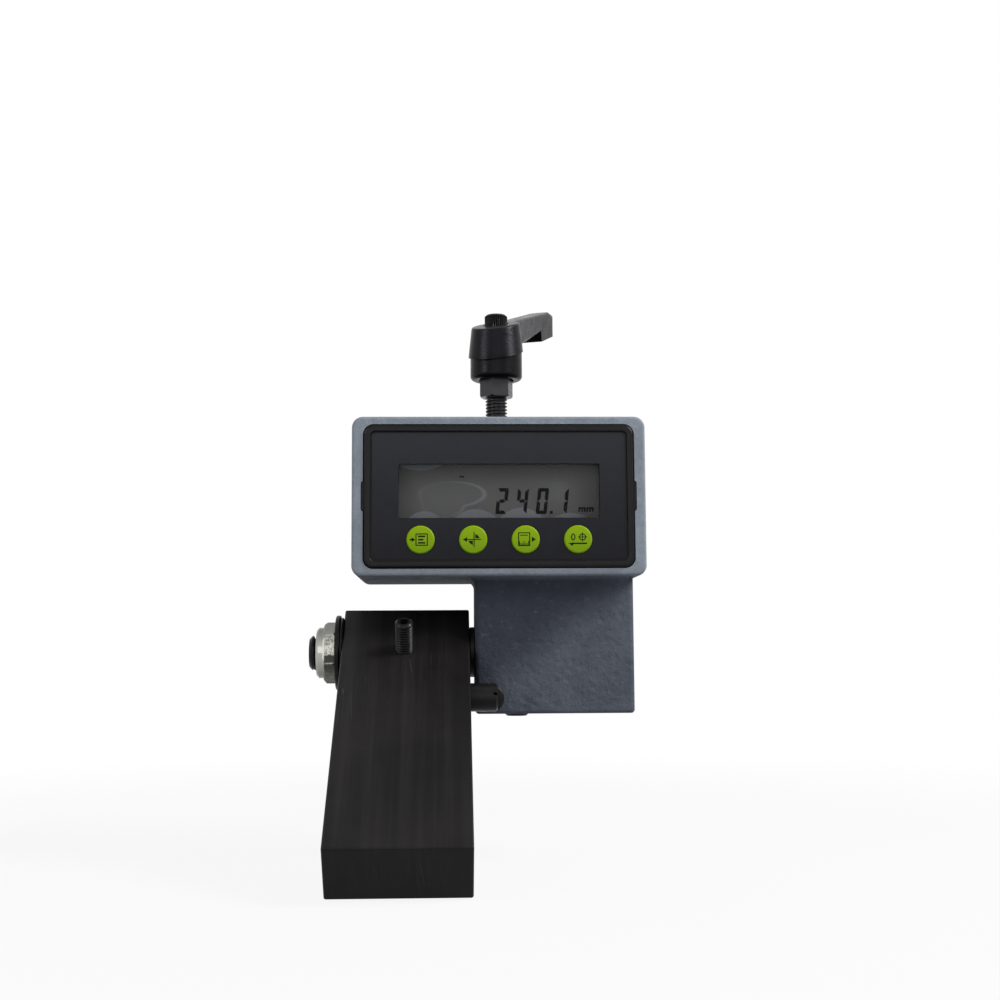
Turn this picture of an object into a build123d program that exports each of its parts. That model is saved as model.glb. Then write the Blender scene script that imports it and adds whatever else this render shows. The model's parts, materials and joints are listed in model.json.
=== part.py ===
from build123d import *
from math import asin, atan2, cos, degrees, hypot, pi, radians, sin
import os

# A sliding length stop with a digital readout.
# Millimetres. The origin is the middle of the slot, X runs along the slot, the display
# faces -Y and Z is up.

# Slot through the carriage
slot_height = 34.6
slot_depth = 10.6
slot_clearance = 0.3

# Cast carriage
side_wall = 4.1
edge_wall = 2.95
web_thickness = 9.7
rear_wall = 12.7
body_centre_z = 0.5
body_corner = 3.8
front_edge_round = 1.0
rear_edge_round = 1.5
cast_edge_round = 1.2

# Lug that carries the stop arm, cast on below the carriage
lug_width = 54.6
lug_inset = 4.2
lug_setback = 5.0
lug_depth = 31.0
lug_drop = 46.6
lug_cove = 3.2
lug_corner = 1.6

# Display module in its pocket
module_width = 92.8
module_height = 49.3
module_corner = 3.4
module_gap = 0.25
module_proud = 0.6
module_wall = 1.8
joint_line_depth = 12.0
rim_width = 2.4
rim_round = 1.0
recess_depth = 0.95
plate_thickness = 2.0
lip_wall = 1.2
lip_reach = 2.0
clip_height = 10.2
clip_reach = 0.5
clip_gap = 0.2
clip_length = 6.0

# Front foil, window and liquid crystal cell
foil_thickness = 0.4
foil_gap = 0.5
foil_corner = 1.6
window_width = 69.2
window_height = 18.7
window_centre_z = 2.3
window_gap = 0.1
window_flange_side = 2.4
window_flange_edge = 0.85
window_flange = 1.0
window_below_foil = 0.1
cell_air_gap = 0.05
cell_thickness = 2.55
holder_wall = 1.0
holder_gap = 0.1
strip_height = 2.1
strip_width = 2.0
strip_inset = 3.0
board_thickness = 1.6
board_gap = 0.3

# Keys and their switches
key_count = 4
key_pitch = 17.95
key_below_holder = 0.2
key_diameter = 9.6
key_gap = 0.15
key_proud = 0.5
key_flange_side = 0.4
key_flange = 0.8
key_rest_gap = 0.05
key_stem_diameter = 3.0
key_chamfer = 0.35
key_travel = 0.4
switch_side = 6.0
switch_height = 2.0
plunger_diameter = 3.2
plunger_gap = 0.05
plunger_proud = 0.8
plunger_sunk = 0.7

# Module screws
module_screw_inset = 4.1
module_screw_diameter = 2.2
module_screw_head = 4.0
module_screw_head_height = 1.6
module_screw_bite = 4.5
cross_reach = 1.2
cross_width = 0.4
cross_depth = 0.8
post_diameter = 5.2
boss_diameter = 6.4
boss_seat_depth = 3.8
screw_gap = 0.1

# Button cell, its cup and its cover
button_diameter = 24.5
button_thickness = 5.0
button_step = 0.6
button_cap_inset = 1.6
button_inset = 24.6
button_gap = 0.2
cup_wall = 1.5
cup_floor = 1.0
cup_corner = 2.0
cup_slit = 8.0
cup_below_cell = 1.0
cover_depth = 5.35
cover_lap = 1.25
cover_flange = 0.9
cover_wall = 2.0
cover_skin = 0.6
coin_slot_width = 1.6
coin_slot_length = 14.0

# Sensor head and its plug
sensor_inset = 28.6
sensor_z = -8.1
sensor_setback = 0.3
sensor_width = 22.0
sensor_height = 11.0
sensor_gap = 0.2
sensor_ear = 7.0
sensor_flange = 3.0
sensor_screw_diameter = 2.5
sensor_screw_head = 4.5
sensor_screw_head_height = 1.4
sensor_screw_bite = 3.0
header_width = 10.0
header_height = 4.0

# Clamp stud and the pad below it
clamp_x = 0.4
clamp_thread = 8.0
thread_gap = 0.05
pad_length = 22.0
pad_width = 8.6
pad_thickness = 3.0
pad_corner = 0.8
pad_gap = 0.2
pad_lift = 0.75
pad_spare_lift = 0.15
pin_end_diameter = 6.0
pin_end_length = 1.4
pin_end_gap = 0.1
hex_above_body = 12.8
hex_width = 10.8
hex_turn = -17.0
hex_length = 9.0
tooth_count = 20
tooth_tip = 6.2
tooth_root = 5.6
tooth_gap = 0.12
tooth_length = 3.6
neck_diameter = 9.0
neck_length = 3.9

# Clamp lever, its heights measured up from the rim of its hub
lever_turn = 20.0
lever_rise = 20.0
rim_below_teeth = 2.6
ring_diameter = 19.1
ring_round = 1.6
skirt_low_radius = 10.1
skirt_top_radius = 8.95
skirt_low = 10.0
skirt_top = 21.2
skirt_round = 1.0
lever_seat_gap = 0.05
shelf_thickness = 2.4
bore_gap = 0.27
lever_reach = 63.0
neck_half_width = 4.5
neck_root_half_width = 5.2
neck_root = 9.6
neck_end = 27.2
waist_run = 23.0
arm_top_root = 21.5
grip_half_width = 5.0
grip_start = 44.3
step_slant = 0.5
grip_low = 23.6
grip_end_low = 28.7
grip_tip = 33.5
grip_top = 38.9
grip_low_round = 3.5
grip_top_round = 4.3
grip_round = 1.3
grip_end_round = 3.2

# Spring and retaining screw in the lever's hub
lever_lift = 4.0
spring_room = 7.05
spring_diameter = 8.9
spring_wire = 0.8
spring_side_gap = 0.25
spring_end_gap = 0.1
retainer_thread = 5.0
retainer_hole_gap = 0.3
retainer_head = 8.4
retainer_head_height = 5.0
retainer_chamfer = 0.6
retainer_socket = 4.0
retainer_socket_depth = 2.6
retainer_bite = 7.0

# Stop arm and its pivot
pivot_setback = 13.8
pivot_drop = 25.5
arm_slope = 36.2
arm_width = 43.7
arm_thickness = 20.0
arm_back = 12.0
arm_front = 108.0
arm_edge_round = 0.7
pivot_diameter = 12.0
pivot_chamfer = 1.0
pivot_bore_gap = 0.05
pivot_past_nut = 2.6
pivot_sunk = 32.0
side_play = 0.1
washer_diameter = 26.0
washer_thickness = 1.6
slide_washer_diameter = 24.4
slide_washer_thickness = 1.0
washer_bore_gap = 0.4
washer_chamfer = 0.3
thrust_washer_diameter = 17.5
thrust_washer_thickness = 1.8
nut_width = 18.6
nut_turn = 8.0
nut_hex_length = 4.2
nut_collar_diameter = 17.6
nut_collar_length = 2.5
nut_ring_length = 1.5
nut_ring_wall = 1.6
nut_lip = 0.4
lock_screw_inset = 14.6
lock_screw_proud = 1.1
arm_screw_along = 11.9
arm_screw_offset = -0.4
arm_screw_diameter = 6.0
arm_screw_proud = 11.4
arm_screw_length = 20.0
set_screw_chamfer = 0.6

# Rest pin in the arm and the rest screw that it comes down on
rest_pin_along = 25.8
rest_pin_diameter = 9.5
rest_pin_fit = 0.02
rest_pin_reach = 9.2
rest_pin_sunk = 12.0
rest_pin_slot = 1.0
rest_pin_slot_depth = 1.5
rest_pin_slot_tilt = 16.0
rest_screw_inset = 5.2
rest_screw_drop = 0.6
rest_screw_head = 9.2
rest_screw_chamfer = 0.4
rest_screw_thread = 6.0
rest_screw_length = 16.0
rest_touch_gap = 0.03

# Depth of each layer of the module, from the rim back
pocket_depth = (recess_depth - module_proud + plate_thickness + window_flange + cell_air_gap
                + cell_thickness + strip_height + board_thickness + cup_floor
                + button_thickness + cover_depth)
slot_half_height = slot_height / 2
slot_half_depth = slot_depth / 2
pocket_floor_y = -slot_half_depth - web_thickness
face_y = pocket_floor_y - pocket_depth
rear_y = slot_half_depth + rear_wall
rim_y = face_y - module_proud
joint_y = face_y + joint_line_depth
recess_y = rim_y + recess_depth
foil_front_y = recess_y - foil_thickness
plate_back_y = recess_y + plate_thickness
window_back_y = plate_back_y + window_flange
cell_front_y = window_back_y + cell_air_gap
cell_back_y = cell_front_y + cell_thickness
board_front_y = cell_back_y + strip_height
board_back_y = board_front_y + board_thickness
button_front_y = board_back_y + cup_floor
button_back_y = button_front_y + button_thickness
module_rear_wall_y = pocket_floor_y - module_wall
boss_seat_y = board_back_y + boss_seat_depth
module_screw_tip_y = board_front_y - module_screw_bite
sensor_flange_y = pocket_floor_y + sensor_flange
sensor_face_y = -slot_half_depth - sensor_setback

# Outline of the carriage, the module and the window
body_width = module_width + 2 * side_wall
body_height = module_height + 2 * edge_wall
body_top = body_centre_z + body_height / 2
body_bottom = body_centre_z - body_height / 2
inner_width = module_width - 2 * module_wall
inner_height = module_height - 2 * module_wall
inner_corner = module_corner - module_wall
recess_width = module_width - 2 * rim_width
recess_height = module_height - 2 * rim_width
board_width = inner_width - 2 * board_gap
board_height = inner_height - 2 * board_gap
cell_width = window_width + 2 * window_flange_side
cell_height = window_height + 2 * window_flange_edge + 2 * holder_gap
holder_width = cell_width + 2 * (holder_gap + holder_wall)
holder_height = cell_height + 2 * (holder_gap + holder_wall)
module_screw_places = [(x * (inner_width / 2 - module_screw_inset),
                        body_centre_z + z * (inner_height / 2 - module_screw_inset))
                       for x in (-1, 1) for z in (-1, 1)]
button_x = button_inset - inner_width / 2
sensor_x = inner_width / 2 - sensor_inset
cup_side = button_diameter + 2 * (button_gap + cup_wall)
sensor_flange_width = sensor_width + 2 * sensor_ear
sensor_screw_places = [sensor_x + side * (sensor_width / 2 + sensor_ear / 2) for side in (-1, 1)]

# Places of the keys
key_flange_diameter = key_diameter + 2 * key_flange_side
key_centre_z = (window_centre_z - holder_height / 2 - key_below_holder
                - key_flange_diameter / 2)
key_places = [(i - (key_count - 1) / 2) * key_pitch for i in range(key_count)]
key_front_y = foil_front_y - key_proud
key_flange_y = plate_back_y + key_rest_gap
switch_front_y = board_front_y - switch_height
plunger_front_y = switch_front_y - plunger_proud

# Heights in the clamp
pad_low_z = slot_half_height - slot_clearance
pad_top_z = pad_low_z + pad_thickness
pad_room_top = pad_top_z + pad_lift + pad_spare_lift
hex_start_z = body_top + hex_above_body
tooth_start_z = hex_start_z + hex_length
tooth_end_z = tooth_start_z + tooth_length
insert_top_z = tooth_end_z + neck_length
lever_rim_z = tooth_start_z - rim_below_teeth
shelf_top_z = insert_top_z + lever_seat_gap + shelf_thickness
retainer_seat_z = shelf_top_z + spring_room
hex_corner_radius = hex_width / 2 / cos(radians(30))
lever_bore_radius = hex_corner_radius + bore_gap
spring_bore_radius = spring_diameter / 2 + spring_side_gap

# Places along the pivot and in the lug
lug_right = body_width / 2 - lug_inset
lug_left = lug_right - lug_width
lug_front = face_y + lug_setback
lug_back = lug_front + lug_depth
lug_bottom = body_bottom - lug_drop
pivot_y = lug_front + pivot_setback
pivot_z = body_bottom - pivot_drop
arm_right = lug_left - thrust_washer_thickness - side_play
arm_left = arm_right - arm_width
arm_screw_x = (arm_left + arm_right) / 2 + arm_screw_offset
slide_washer_left = arm_left - side_play - slide_washer_thickness
washer_left = slide_washer_left - washer_thickness
nut_left = washer_left - nut_hex_length - nut_collar_length
pivot_end_x = nut_left - pivot_past_nut
nut_ring_start = nut_hex_length + nut_collar_length - nut_ring_length - nut_lip
lock_screw_x = lug_left + lock_screw_inset
rest_pin_y = pivot_y - rest_pin_along * cos(radians(arm_slope))
rest_pin_z = pivot_z - rest_pin_along * sin(radians(arm_slope))
rest_head_y = rest_pin_y + rest_pin_diameter / 2 + rest_touch_gap
rest_screw_x = lug_left + rest_screw_inset
rest_screw_z = rest_pin_z - rest_screw_drop
arm_frame = Pos(0, pivot_y, pivot_z) * Rot(arm_slope, 0, 0)
lever_frame = Pos(clamp_x, 0, lever_rim_z) * Rot(0, 0, -lever_turn)


def block(x0, x1, y0, y1, z0, z1):
    """A box between two corners."""
    return Pos((x0 + x1) / 2, (y0 + y1) / 2, (z0 + z1) / 2) * Box(x1 - x0, y1 - y0, z1 - z0)


def rod_x(radius, x0, x1, y, z):
    """A cylinder along X."""
    return Pos((x0 + x1) / 2, y, z) * Rot(0, 90, 0) * Cylinder(radius, x1 - x0)


def rod_y(radius, y0, y1, x, z):
    """A cylinder along Y."""
    return Pos(x, (y0 + y1) / 2, z) * Rot(90, 0, 0) * Cylinder(radius, y1 - y0)


def rod_z(radius, z0, z1, x, y):
    """A cylinder along Z."""
    return Pos(x, y, (z0 + z1) / 2) * Cylinder(radius, z1 - z0)


def slab(width, height, corner, y0, y1, z, x=0.0):
    """A plate with rounded corners that faces -Y."""
    outline = Plane.XZ * RectangleRounded(width, height, corner)
    return Pos(x, y1, z) * extrude(outline, amount=y1 - y0)


def hex_prism(width, z0, z1):
    """A hexagonal prism on the Z axis, measured across its flats."""
    outline = RegularPolygon(width / 2, 6, major_radius=False)
    return Pos(0, 0, z0) * extrude(outline, amount=z1 - z0)


def rounded_rod(radius, length, low, high):
    """A cylinder from z = 0 up, with both ends chamfered."""
    rod = Pos(0, 0, length / 2) * Cylinder(radius, length)
    ends = rod.edges().filter_by(GeomType.CIRCLE).sort_by(Axis.Z)
    if low > 0:
        rod = chamfer(ends[0], low)
        ends = rod.edges().filter_by(GeomType.CIRCLE).sort_by(Axis.Z)
    if high > 0:
        rod = chamfer(ends[-1], high)
    return rod


def set_screw(diameter, length):
    """A headless screw from z = 0 up, with its socket at the upper end."""
    screw = rounded_rod(diameter / 2, length, set_screw_chamfer, set_screw_chamfer)
    socket = diameter / 2
    return screw - hex_prism(socket, length - socket, length + 1)


def carriage_shell():
    """The outer block of the casting, with its front and rear edges rounded."""
    outline = Plane.XZ * RectangleRounded(body_width, body_height, body_corner)
    shell = Pos(0, rear_y, body_centre_z) * extrude(outline, amount=rear_y - face_y)
    front = shell.edges().filter_by_position(Axis.Y, face_y - 0.01, face_y + 0.01)
    shell = fillet(front, front_edge_round)
    rear = shell.edges().filter_by_position(Axis.Y, rear_y - 0.01, rear_y + 0.01)
    return fillet(rear, rear_edge_round)


def cove_ring():
    """A ring with a hollow quarter-round, for the corner where two coves meet."""
    inner = lug_corner
    ring = Cylinder(inner + lug_cove, lug_cove, align=(Align.CENTER, Align.CENTER, Align.MAX))
    hollow = Pos(0, 0, -lug_cove) * Torus(inner + lug_cove, lug_cove)
    return ring - hollow


def lug():
    """The arm's lug, flared with a cove into the underside of the carriage."""
    top = body_bottom + 2.0
    body = block(lug_left, lug_right, lug_front, lug_back, lug_bottom, top)
    body = fillet(body.edges().filter_by(Axis.Z), lug_corner)
    low = body.edges().filter_by_position(Axis.Z, lug_bottom - 0.01, lug_bottom + 0.01)
    body = fillet(low, cast_edge_round)
    front_cove = block(lug_left + lug_corner, lug_right - lug_corner, lug_front - lug_cove,
                       lug_front, body_bottom - lug_cove, body_bottom)
    front_cove -= rod_x(lug_cove, lug_left, lug_right, lug_front - lug_cove, body_bottom - lug_cove)
    back_cove = block(lug_left + lug_corner, lug_right - lug_corner, lug_back,
                      lug_back + lug_cove, body_bottom - lug_cove, body_bottom)
    back_cove -= rod_x(lug_cove, lug_left, lug_right, lug_back + lug_cove, body_bottom - lug_cove)
    left_cove = block(lug_left - lug_cove, lug_left, lug_front + lug_corner,
                      lug_back - lug_corner, body_bottom - lug_cove, body_bottom)
    left_cove -= rod_y(lug_cove, lug_front, lug_back, lug_left - lug_cove, body_bottom - lug_cove)
    for y in (lug_front + lug_corner, lug_back - lug_corner):
        body += Pos(lug_left + lug_corner, y, body_bottom) * cove_ring()
    return body + front_cove + back_cove + left_cove


def display_pocket():
    """The pocket for the display module, with a notch each side for its clips."""
    width = module_width + 2 * module_gap
    height = module_height + 2 * module_gap
    corner = module_corner + module_gap
    pocket = slab(width, height, corner, face_y - 1, pocket_floor_y, body_centre_z)
    notch_width = width + 2 * (clip_reach + clip_gap)
    notch_height = clip_height + 2 * clip_gap
    notch_end = face_y + clip_length + clip_gap
    notch = slab(notch_width, notch_height, 1.0, face_y - 1, notch_end, body_centre_z)
    return pocket + notch


def sensor_window():
    """The opening from the pocket to the slot, stepped for the sensor's flange."""
    tall = sensor_height + 2 * sensor_gap
    flange = slab(sensor_flange_width + 2 * sensor_gap, tall, 2.0, pocket_floor_y - 1,
                  sensor_flange_y, sensor_z, sensor_x)
    throat = slab(sensor_width + 2 * sensor_gap, tall, 1.0, pocket_floor_y, 0,
                  sensor_z, sensor_x)
    window = flange + throat
    for x in sensor_screw_places:
        window += rod_y(sensor_screw_diameter / 2 + screw_gap / 2, pocket_floor_y,
                        sensor_flange_y + sensor_screw_bite + 1, x, sensor_z)
    return window


def carriage_casting():
    """Carriage: pocket, slot, clamp bore and lug in one casting."""
    casting = carriage_shell() + lug()
    casting -= display_pocket()
    casting -= sensor_window()
    casting -= block(-body_width, body_width, -slot_half_depth, slot_half_depth,
                     -slot_half_height, slot_half_height)
    casting -= block(clamp_x - pad_length / 2 - pad_gap, clamp_x + pad_length / 2 + pad_gap,
                     -pad_width / 2 - pad_gap, pad_width / 2 + pad_gap, 0, pad_room_top)
    casting -= rod_z(clamp_thread / 2 + thread_gap, 0, body_top + 1, clamp_x, 0)
    casting -= rod_x(pivot_diameter / 2 + thread_gap, lug_left - lug_cove,
                     lug_left + pivot_sunk + 1, pivot_y, pivot_z)
    casting -= rod_z(clamp_thread / 2 + thread_gap, lug_bottom - 1, pivot_z, lock_screw_x, pivot_y)
    casting -= rod_y(rest_screw_thread / 2 + thread_gap, lug_front - 1,
                     lug_front + rest_screw_length + 1, rest_screw_x, rest_screw_z)
    return casting


def module_front():
    """Front shell of the display module: rim, recess, window, key holes and clips."""
    shell = slab(module_width, module_height, module_corner, rim_y, joint_y, body_centre_z)
    rim_edges = shell.edges().filter_by_position(Axis.Y, rim_y - 0.01, rim_y + 0.01)
    shell = fillet(rim_edges, rim_round)
    shell -= slab(inner_width, inner_height, inner_corner, plate_back_y, joint_y + 1,
                  body_centre_z)
    recess = slab(recess_width, recess_height, foil_corner, rim_y - 1, recess_y, body_centre_z)
    shell -= recess
    inner_rim = shell.edges().filter_by_position(Axis.Y, rim_y - 0.01, rim_y + 0.01)
    inside = [e for e in inner_rim if abs(e.center().X) < recess_width / 2 + 0.1
              and abs(e.center().Z - body_centre_z) < recess_height / 2 + 0.1]
    shell = fillet(inside, rim_round / 2)
    shell -= slab(window_width, window_height, 0.5, recess_y - 1, plate_back_y + 1,
                  window_centre_z)
    for x in key_places:
        shell -= rod_y(key_diameter / 2 + key_gap, recess_y - 1, plate_back_y + 1, x, key_centre_z)
    for x, z in module_screw_places:
        shell += rod_y(post_diameter / 2, plate_back_y - 0.5, board_front_y, x, z)
        shell -= rod_y(module_screw_diameter / 2 + screw_gap / 2, module_screw_tip_y - 0.5,
                       board_front_y, x, z)
    clip = slab(module_width + 2 * (module_gap + clip_reach), clip_height, 1.0,
                face_y + 0.2, face_y + clip_length, body_centre_z)
    core = slab(module_width - module_wall, clip_height + 1, 1.0, face_y - 1,
                face_y + clip_length + 1, body_centre_z)
    return shell + (clip - core)


def module_rear():
    """Rear shell of the module, with the battery opening and the screw bosses."""
    shell = slab(module_width, module_height, module_corner, joint_y, pocket_floor_y,
                 body_centre_z)
    shell -= slab(inner_width, inner_height, inner_corner, joint_y - 1, module_rear_wall_y,
                  body_centre_z)
    lip = slab(board_width, board_height, inner_corner, board_back_y, joint_y + lip_reach,
               body_centre_z)
    lip += slab(inner_width, inner_height, inner_corner, joint_y, joint_y + lip_reach,
                body_centre_z)
    lip -= slab(board_width - 2 * lip_wall, board_height - 2 * lip_wall, inner_corner - 0.6,
                board_back_y - 1, joint_y + lip_reach + 1, body_centre_z)
    shell += lip
    for x, z in module_screw_places:
        shell += rod_y(boss_diameter / 2, board_back_y, pocket_floor_y, x, z)
        shell -= rod_y(module_screw_head / 2 + screw_gap, boss_seat_y, pocket_floor_y + 1, x, z)
        shell -= rod_y(module_screw_diameter / 2 + screw_gap, board_back_y - 1,
                       boss_seat_y + 1, x, z)
    hole = button_diameter / 2 + button_gap
    shell -= rod_y(hole + cover_lap, module_rear_wall_y + cover_flange, pocket_floor_y + 1,
                   button_x, body_centre_z)
    shell -= rod_y(hole, module_rear_wall_y - 1, pocket_floor_y, button_x, body_centre_z)
    shell -= slab(header_width + 2 * sensor_gap, header_height + 2 * sensor_gap, 0.5,
                  module_rear_wall_y - 1, pocket_floor_y + 1, sensor_z, sensor_x)
    return shell


def front_foil():
    """Printed front foil in the recess of the front shell, open at the window and keys."""
    foil = slab(recess_width - 2 * foil_gap, recess_height - 2 * foil_gap,
                foil_corner - foil_gap / 2, foil_front_y, recess_y, body_centre_z)
    foil -= slab(window_width, window_height, 0.5, foil_front_y - 1, recess_y + 1,
                 window_centre_z)
    for x in key_places:
        foil -= rod_y(key_diameter / 2 + key_gap, foil_front_y - 1, recess_y + 1, x, key_centre_z)
    return foil


def display_window():
    """Clear window, stepped so that its flange sits behind the front shell."""
    pane = slab(window_width - 2 * window_gap, window_height - 2 * window_gap, 0.4,
                foil_front_y + window_below_foil, plate_back_y, window_centre_z)
    flange = slab(cell_width, cell_height - 2 * window_gap, 0.6, plate_back_y, window_back_y,
                  window_centre_z)
    return pane + flange


def display_cell():
    """Liquid crystal cell behind the window."""
    return slab(cell_width, cell_height, 0.3, cell_front_y, cell_back_y, window_centre_z)


def cell_holder():
    """Frame that holds the cell and the window's flange between front shell and board."""
    frame = slab(holder_width, holder_height, 0.8, plate_back_y, board_front_y,
                 window_centre_z)
    return frame - slab(cell_width + 2 * holder_gap, cell_height + 2 * holder_gap, 0.4,
                        plate_back_y - 1, board_front_y + 1, window_centre_z)


def contact_strips():
    """Two rubber contact strips from the cell's edges to the board."""
    strips = []
    offset = cell_height / 2 - strip_width / 2 - holder_gap
    for side in (-1, 1):
        z = window_centre_z + side * offset
        half_length = cell_width / 2 - strip_inset
        strips.append(block(-half_length, half_length, cell_back_y, board_front_y,
                            z - strip_width / 2, z + strip_width / 2))
    return strips


def circuit_board():
    """Circuit board with its four corner holes."""
    board = slab(board_width, board_height, inner_corner, board_front_y, board_back_y,
                 body_centre_z)
    for x, z in module_screw_places:
        board -= rod_y(module_screw_diameter / 2 + screw_gap, board_front_y - 1,
                       board_back_y + 1, x, z)
    return board


def key_cap(x):
    """Round key with a chamfered edge, a retaining flange and a stem."""
    cap = rod_y(key_diameter / 2, key_front_y, key_flange_y + 0.2, x, key_centre_z)
    front = cap.edges().filter_by_position(Axis.Y, key_front_y - 0.01, key_front_y + 0.01)
    cap = chamfer(front, key_chamfer)
    cap += rod_y(key_flange_diameter / 2, key_flange_y, key_flange_y + key_flange, x,
                 key_centre_z)
    return cap + rod_y(key_stem_diameter / 2, key_flange_y, plunger_front_y, x, key_centre_z)


def key_plunger(x):
    """Plunger of one key switch, under the key's stem."""
    return rod_y(plunger_diameter / 2, plunger_front_y, switch_front_y + plunger_sunk, x,
                 key_centre_z)


def key_switches():
    """The four switch bodies on the board, each with its plunger's well."""
    bodies = []
    half = switch_side / 2
    for x in key_places:
        body = block(x - half, x + half, switch_front_y, board_front_y, key_centre_z - half,
                     key_centre_z + half)
        well = plunger_sunk + key_travel + plunger_gap
        body -= rod_y(plunger_diameter / 2 + plunger_gap, switch_front_y - 1,
                      switch_front_y + well, x, key_centre_z)
        bodies.append(body)
    return bodies


def module_screws():
    """Four self-tapping screws that close the module."""
    screws = []
    head_y = boss_seat_y + module_screw_head_height
    half = cross_width / 2
    for x, z in module_screw_places:
        screw = rod_y(module_screw_head / 2, boss_seat_y, head_y, x, z)
        screw += rod_y(module_screw_diameter / 2, module_screw_tip_y, boss_seat_y, x, z)
        screw -= block(x - cross_reach, x + cross_reach, head_y - cross_depth, head_y + 1,
                       z - half, z + half)
        screw -= block(x - half, x + half, head_y - cross_depth, head_y + 1,
                       z - cross_reach, z + cross_reach)
        screws.append(screw)
    return screws


def battery_cup():
    """Holder for the button cell on the back of the board."""
    half = cup_side / 2
    cup = slab(cup_side, cup_side, cup_corner, board_back_y, button_back_y - cup_below_cell,
               body_centre_z, button_x)
    cup -= rod_y(button_diameter / 2 + button_gap, button_front_y, button_back_y + 1, button_x,
                 body_centre_z)
    slit = block(button_x - cup_slit / 2, button_x + cup_slit / 2, button_front_y,
                 button_back_y, body_centre_z - half - 1, body_centre_z + half + 1)
    return cup - slit


def button_battery():
    """Button cell, with its smaller negative cap toward the board."""
    step_y = button_front_y + button_step
    can = rod_y(button_diameter / 2, step_y, button_back_y, button_x, body_centre_z)
    return can + rod_y(button_diameter / 2 - button_cap_inset, button_front_y, step_y,
                       button_x, body_centre_z)


def battery_cover():
    """Round cover over the button cell, turned with a coin."""
    flange_front = module_rear_wall_y + cover_flange
    plug = button_diameter / 2 - button_gap
    cover = rod_y(button_diameter / 2 + cover_lap, flange_front, pocket_floor_y, button_x,
                  body_centre_z)
    cover += rod_y(plug, button_back_y, flange_front, button_x, body_centre_z)
    cover -= rod_y(plug - cover_wall, button_back_y - 1, module_rear_wall_y - cover_skin,
                   button_x, body_centre_z)
    half = coin_slot_width / 2
    return cover - block(button_x - coin_slot_length / 2, button_x + coin_slot_length / 2,
                         flange_front, pocket_floor_y + 1, body_centre_z - half,
                         body_centre_z + half)


def sensor_head():
    """Potted sensor that looks into the slot through the window behind the module."""
    head = slab(sensor_flange_width, sensor_height, 1.8, pocket_floor_y, sensor_flange_y,
                sensor_z, sensor_x)
    head += slab(sensor_width, sensor_height, 0.8, sensor_flange_y, sensor_face_y,
                 sensor_z, sensor_x)
    for x in sensor_screw_places:
        head -= rod_y(sensor_screw_diameter / 2 + screw_gap, pocket_floor_y - 1,
                      sensor_flange_y + 1, x, sensor_z)
        head -= rod_y(sensor_screw_head / 2 + screw_gap, pocket_floor_y - 1,
                      pocket_floor_y + sensor_screw_head_height, x, sensor_z)
    return head


def sensor_screws():
    """Two screws that fasten the sensor's flange to the casting."""
    screws = []
    seat_y = pocket_floor_y + sensor_screw_head_height
    for x in sensor_screw_places:
        screw = rod_y(sensor_screw_head / 2, pocket_floor_y, seat_y, x, sensor_z)
        screw += rod_y(sensor_screw_diameter / 2, seat_y, sensor_flange_y + sensor_screw_bite,
                       x, sensor_z)
        screws.append(screw)
    return screws


def sensor_header():
    """Plug block that joins the sensor to the back of the board."""
    return slab(header_width, header_height, 0.4, board_back_y, pocket_floor_y, sensor_z,
                sensor_x)


def clamp_pad():
    """Brass pad that the stud presses down into the slot."""
    half = pad_length / 2
    pad = block(clamp_x - half, clamp_x + half, -pad_width / 2, pad_width / 2, pad_low_z,
                pad_top_z)
    pad = chamfer(pad.edges().filter_by(Axis.Z), pad_corner)
    return pad - rod_z(pin_end_diameter / 2 + pin_end_gap,
                       pad_top_z - pin_end_length - pin_end_gap, pad_top_z + 1, clamp_x, 0)


def toothed_outline(tip, root):
    """Outline with straight-sided teeth, tip and root alternating."""
    points = []
    for i in range(2 * tooth_count):
        radius = tip if i % 2 == 0 else root
        angle = pi * i / tooth_count
        points.append((radius * cos(angle), radius * sin(angle)))
    return make_face(Polyline(*points, close=True))


def clamp_stud():
    """Threaded stud with its pin end, hexagon, teeth and tapped neck."""
    stud = rod_z(pin_end_diameter / 2, pad_top_z - pin_end_length, pad_top_z + 1, 0, 0)
    stud += Pos(0, 0, pad_top_z) * rounded_rod(clamp_thread / 2, hex_start_z - pad_top_z,
                                               set_screw_chamfer, 0)
    hexagon = hex_prism(hex_width, hex_start_z, tooth_start_z)
    corner_trim = rounded_rod(hex_corner_radius, hex_length, 0.5, 0)
    hexagon = hexagon & (Pos(0, 0, hex_start_z) * corner_trim)
    stud += Rot(0, 0, -90 + hex_turn) * hexagon
    teeth = extrude(toothed_outline(tooth_tip, tooth_root), amount=tooth_length)
    stud += Rot(0, 0, -lever_turn) * Pos(0, 0, tooth_start_z) * teeth
    stud += rod_z(neck_diameter / 2, tooth_end_z, insert_top_z, 0, 0)
    stud -= rod_z(retainer_thread / 2 + thread_gap, insert_top_z - retainer_bite - 0.5,
                  insert_top_z + 1, 0, 0)
    return Pos(clamp_x, 0, 0) * stud


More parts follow.
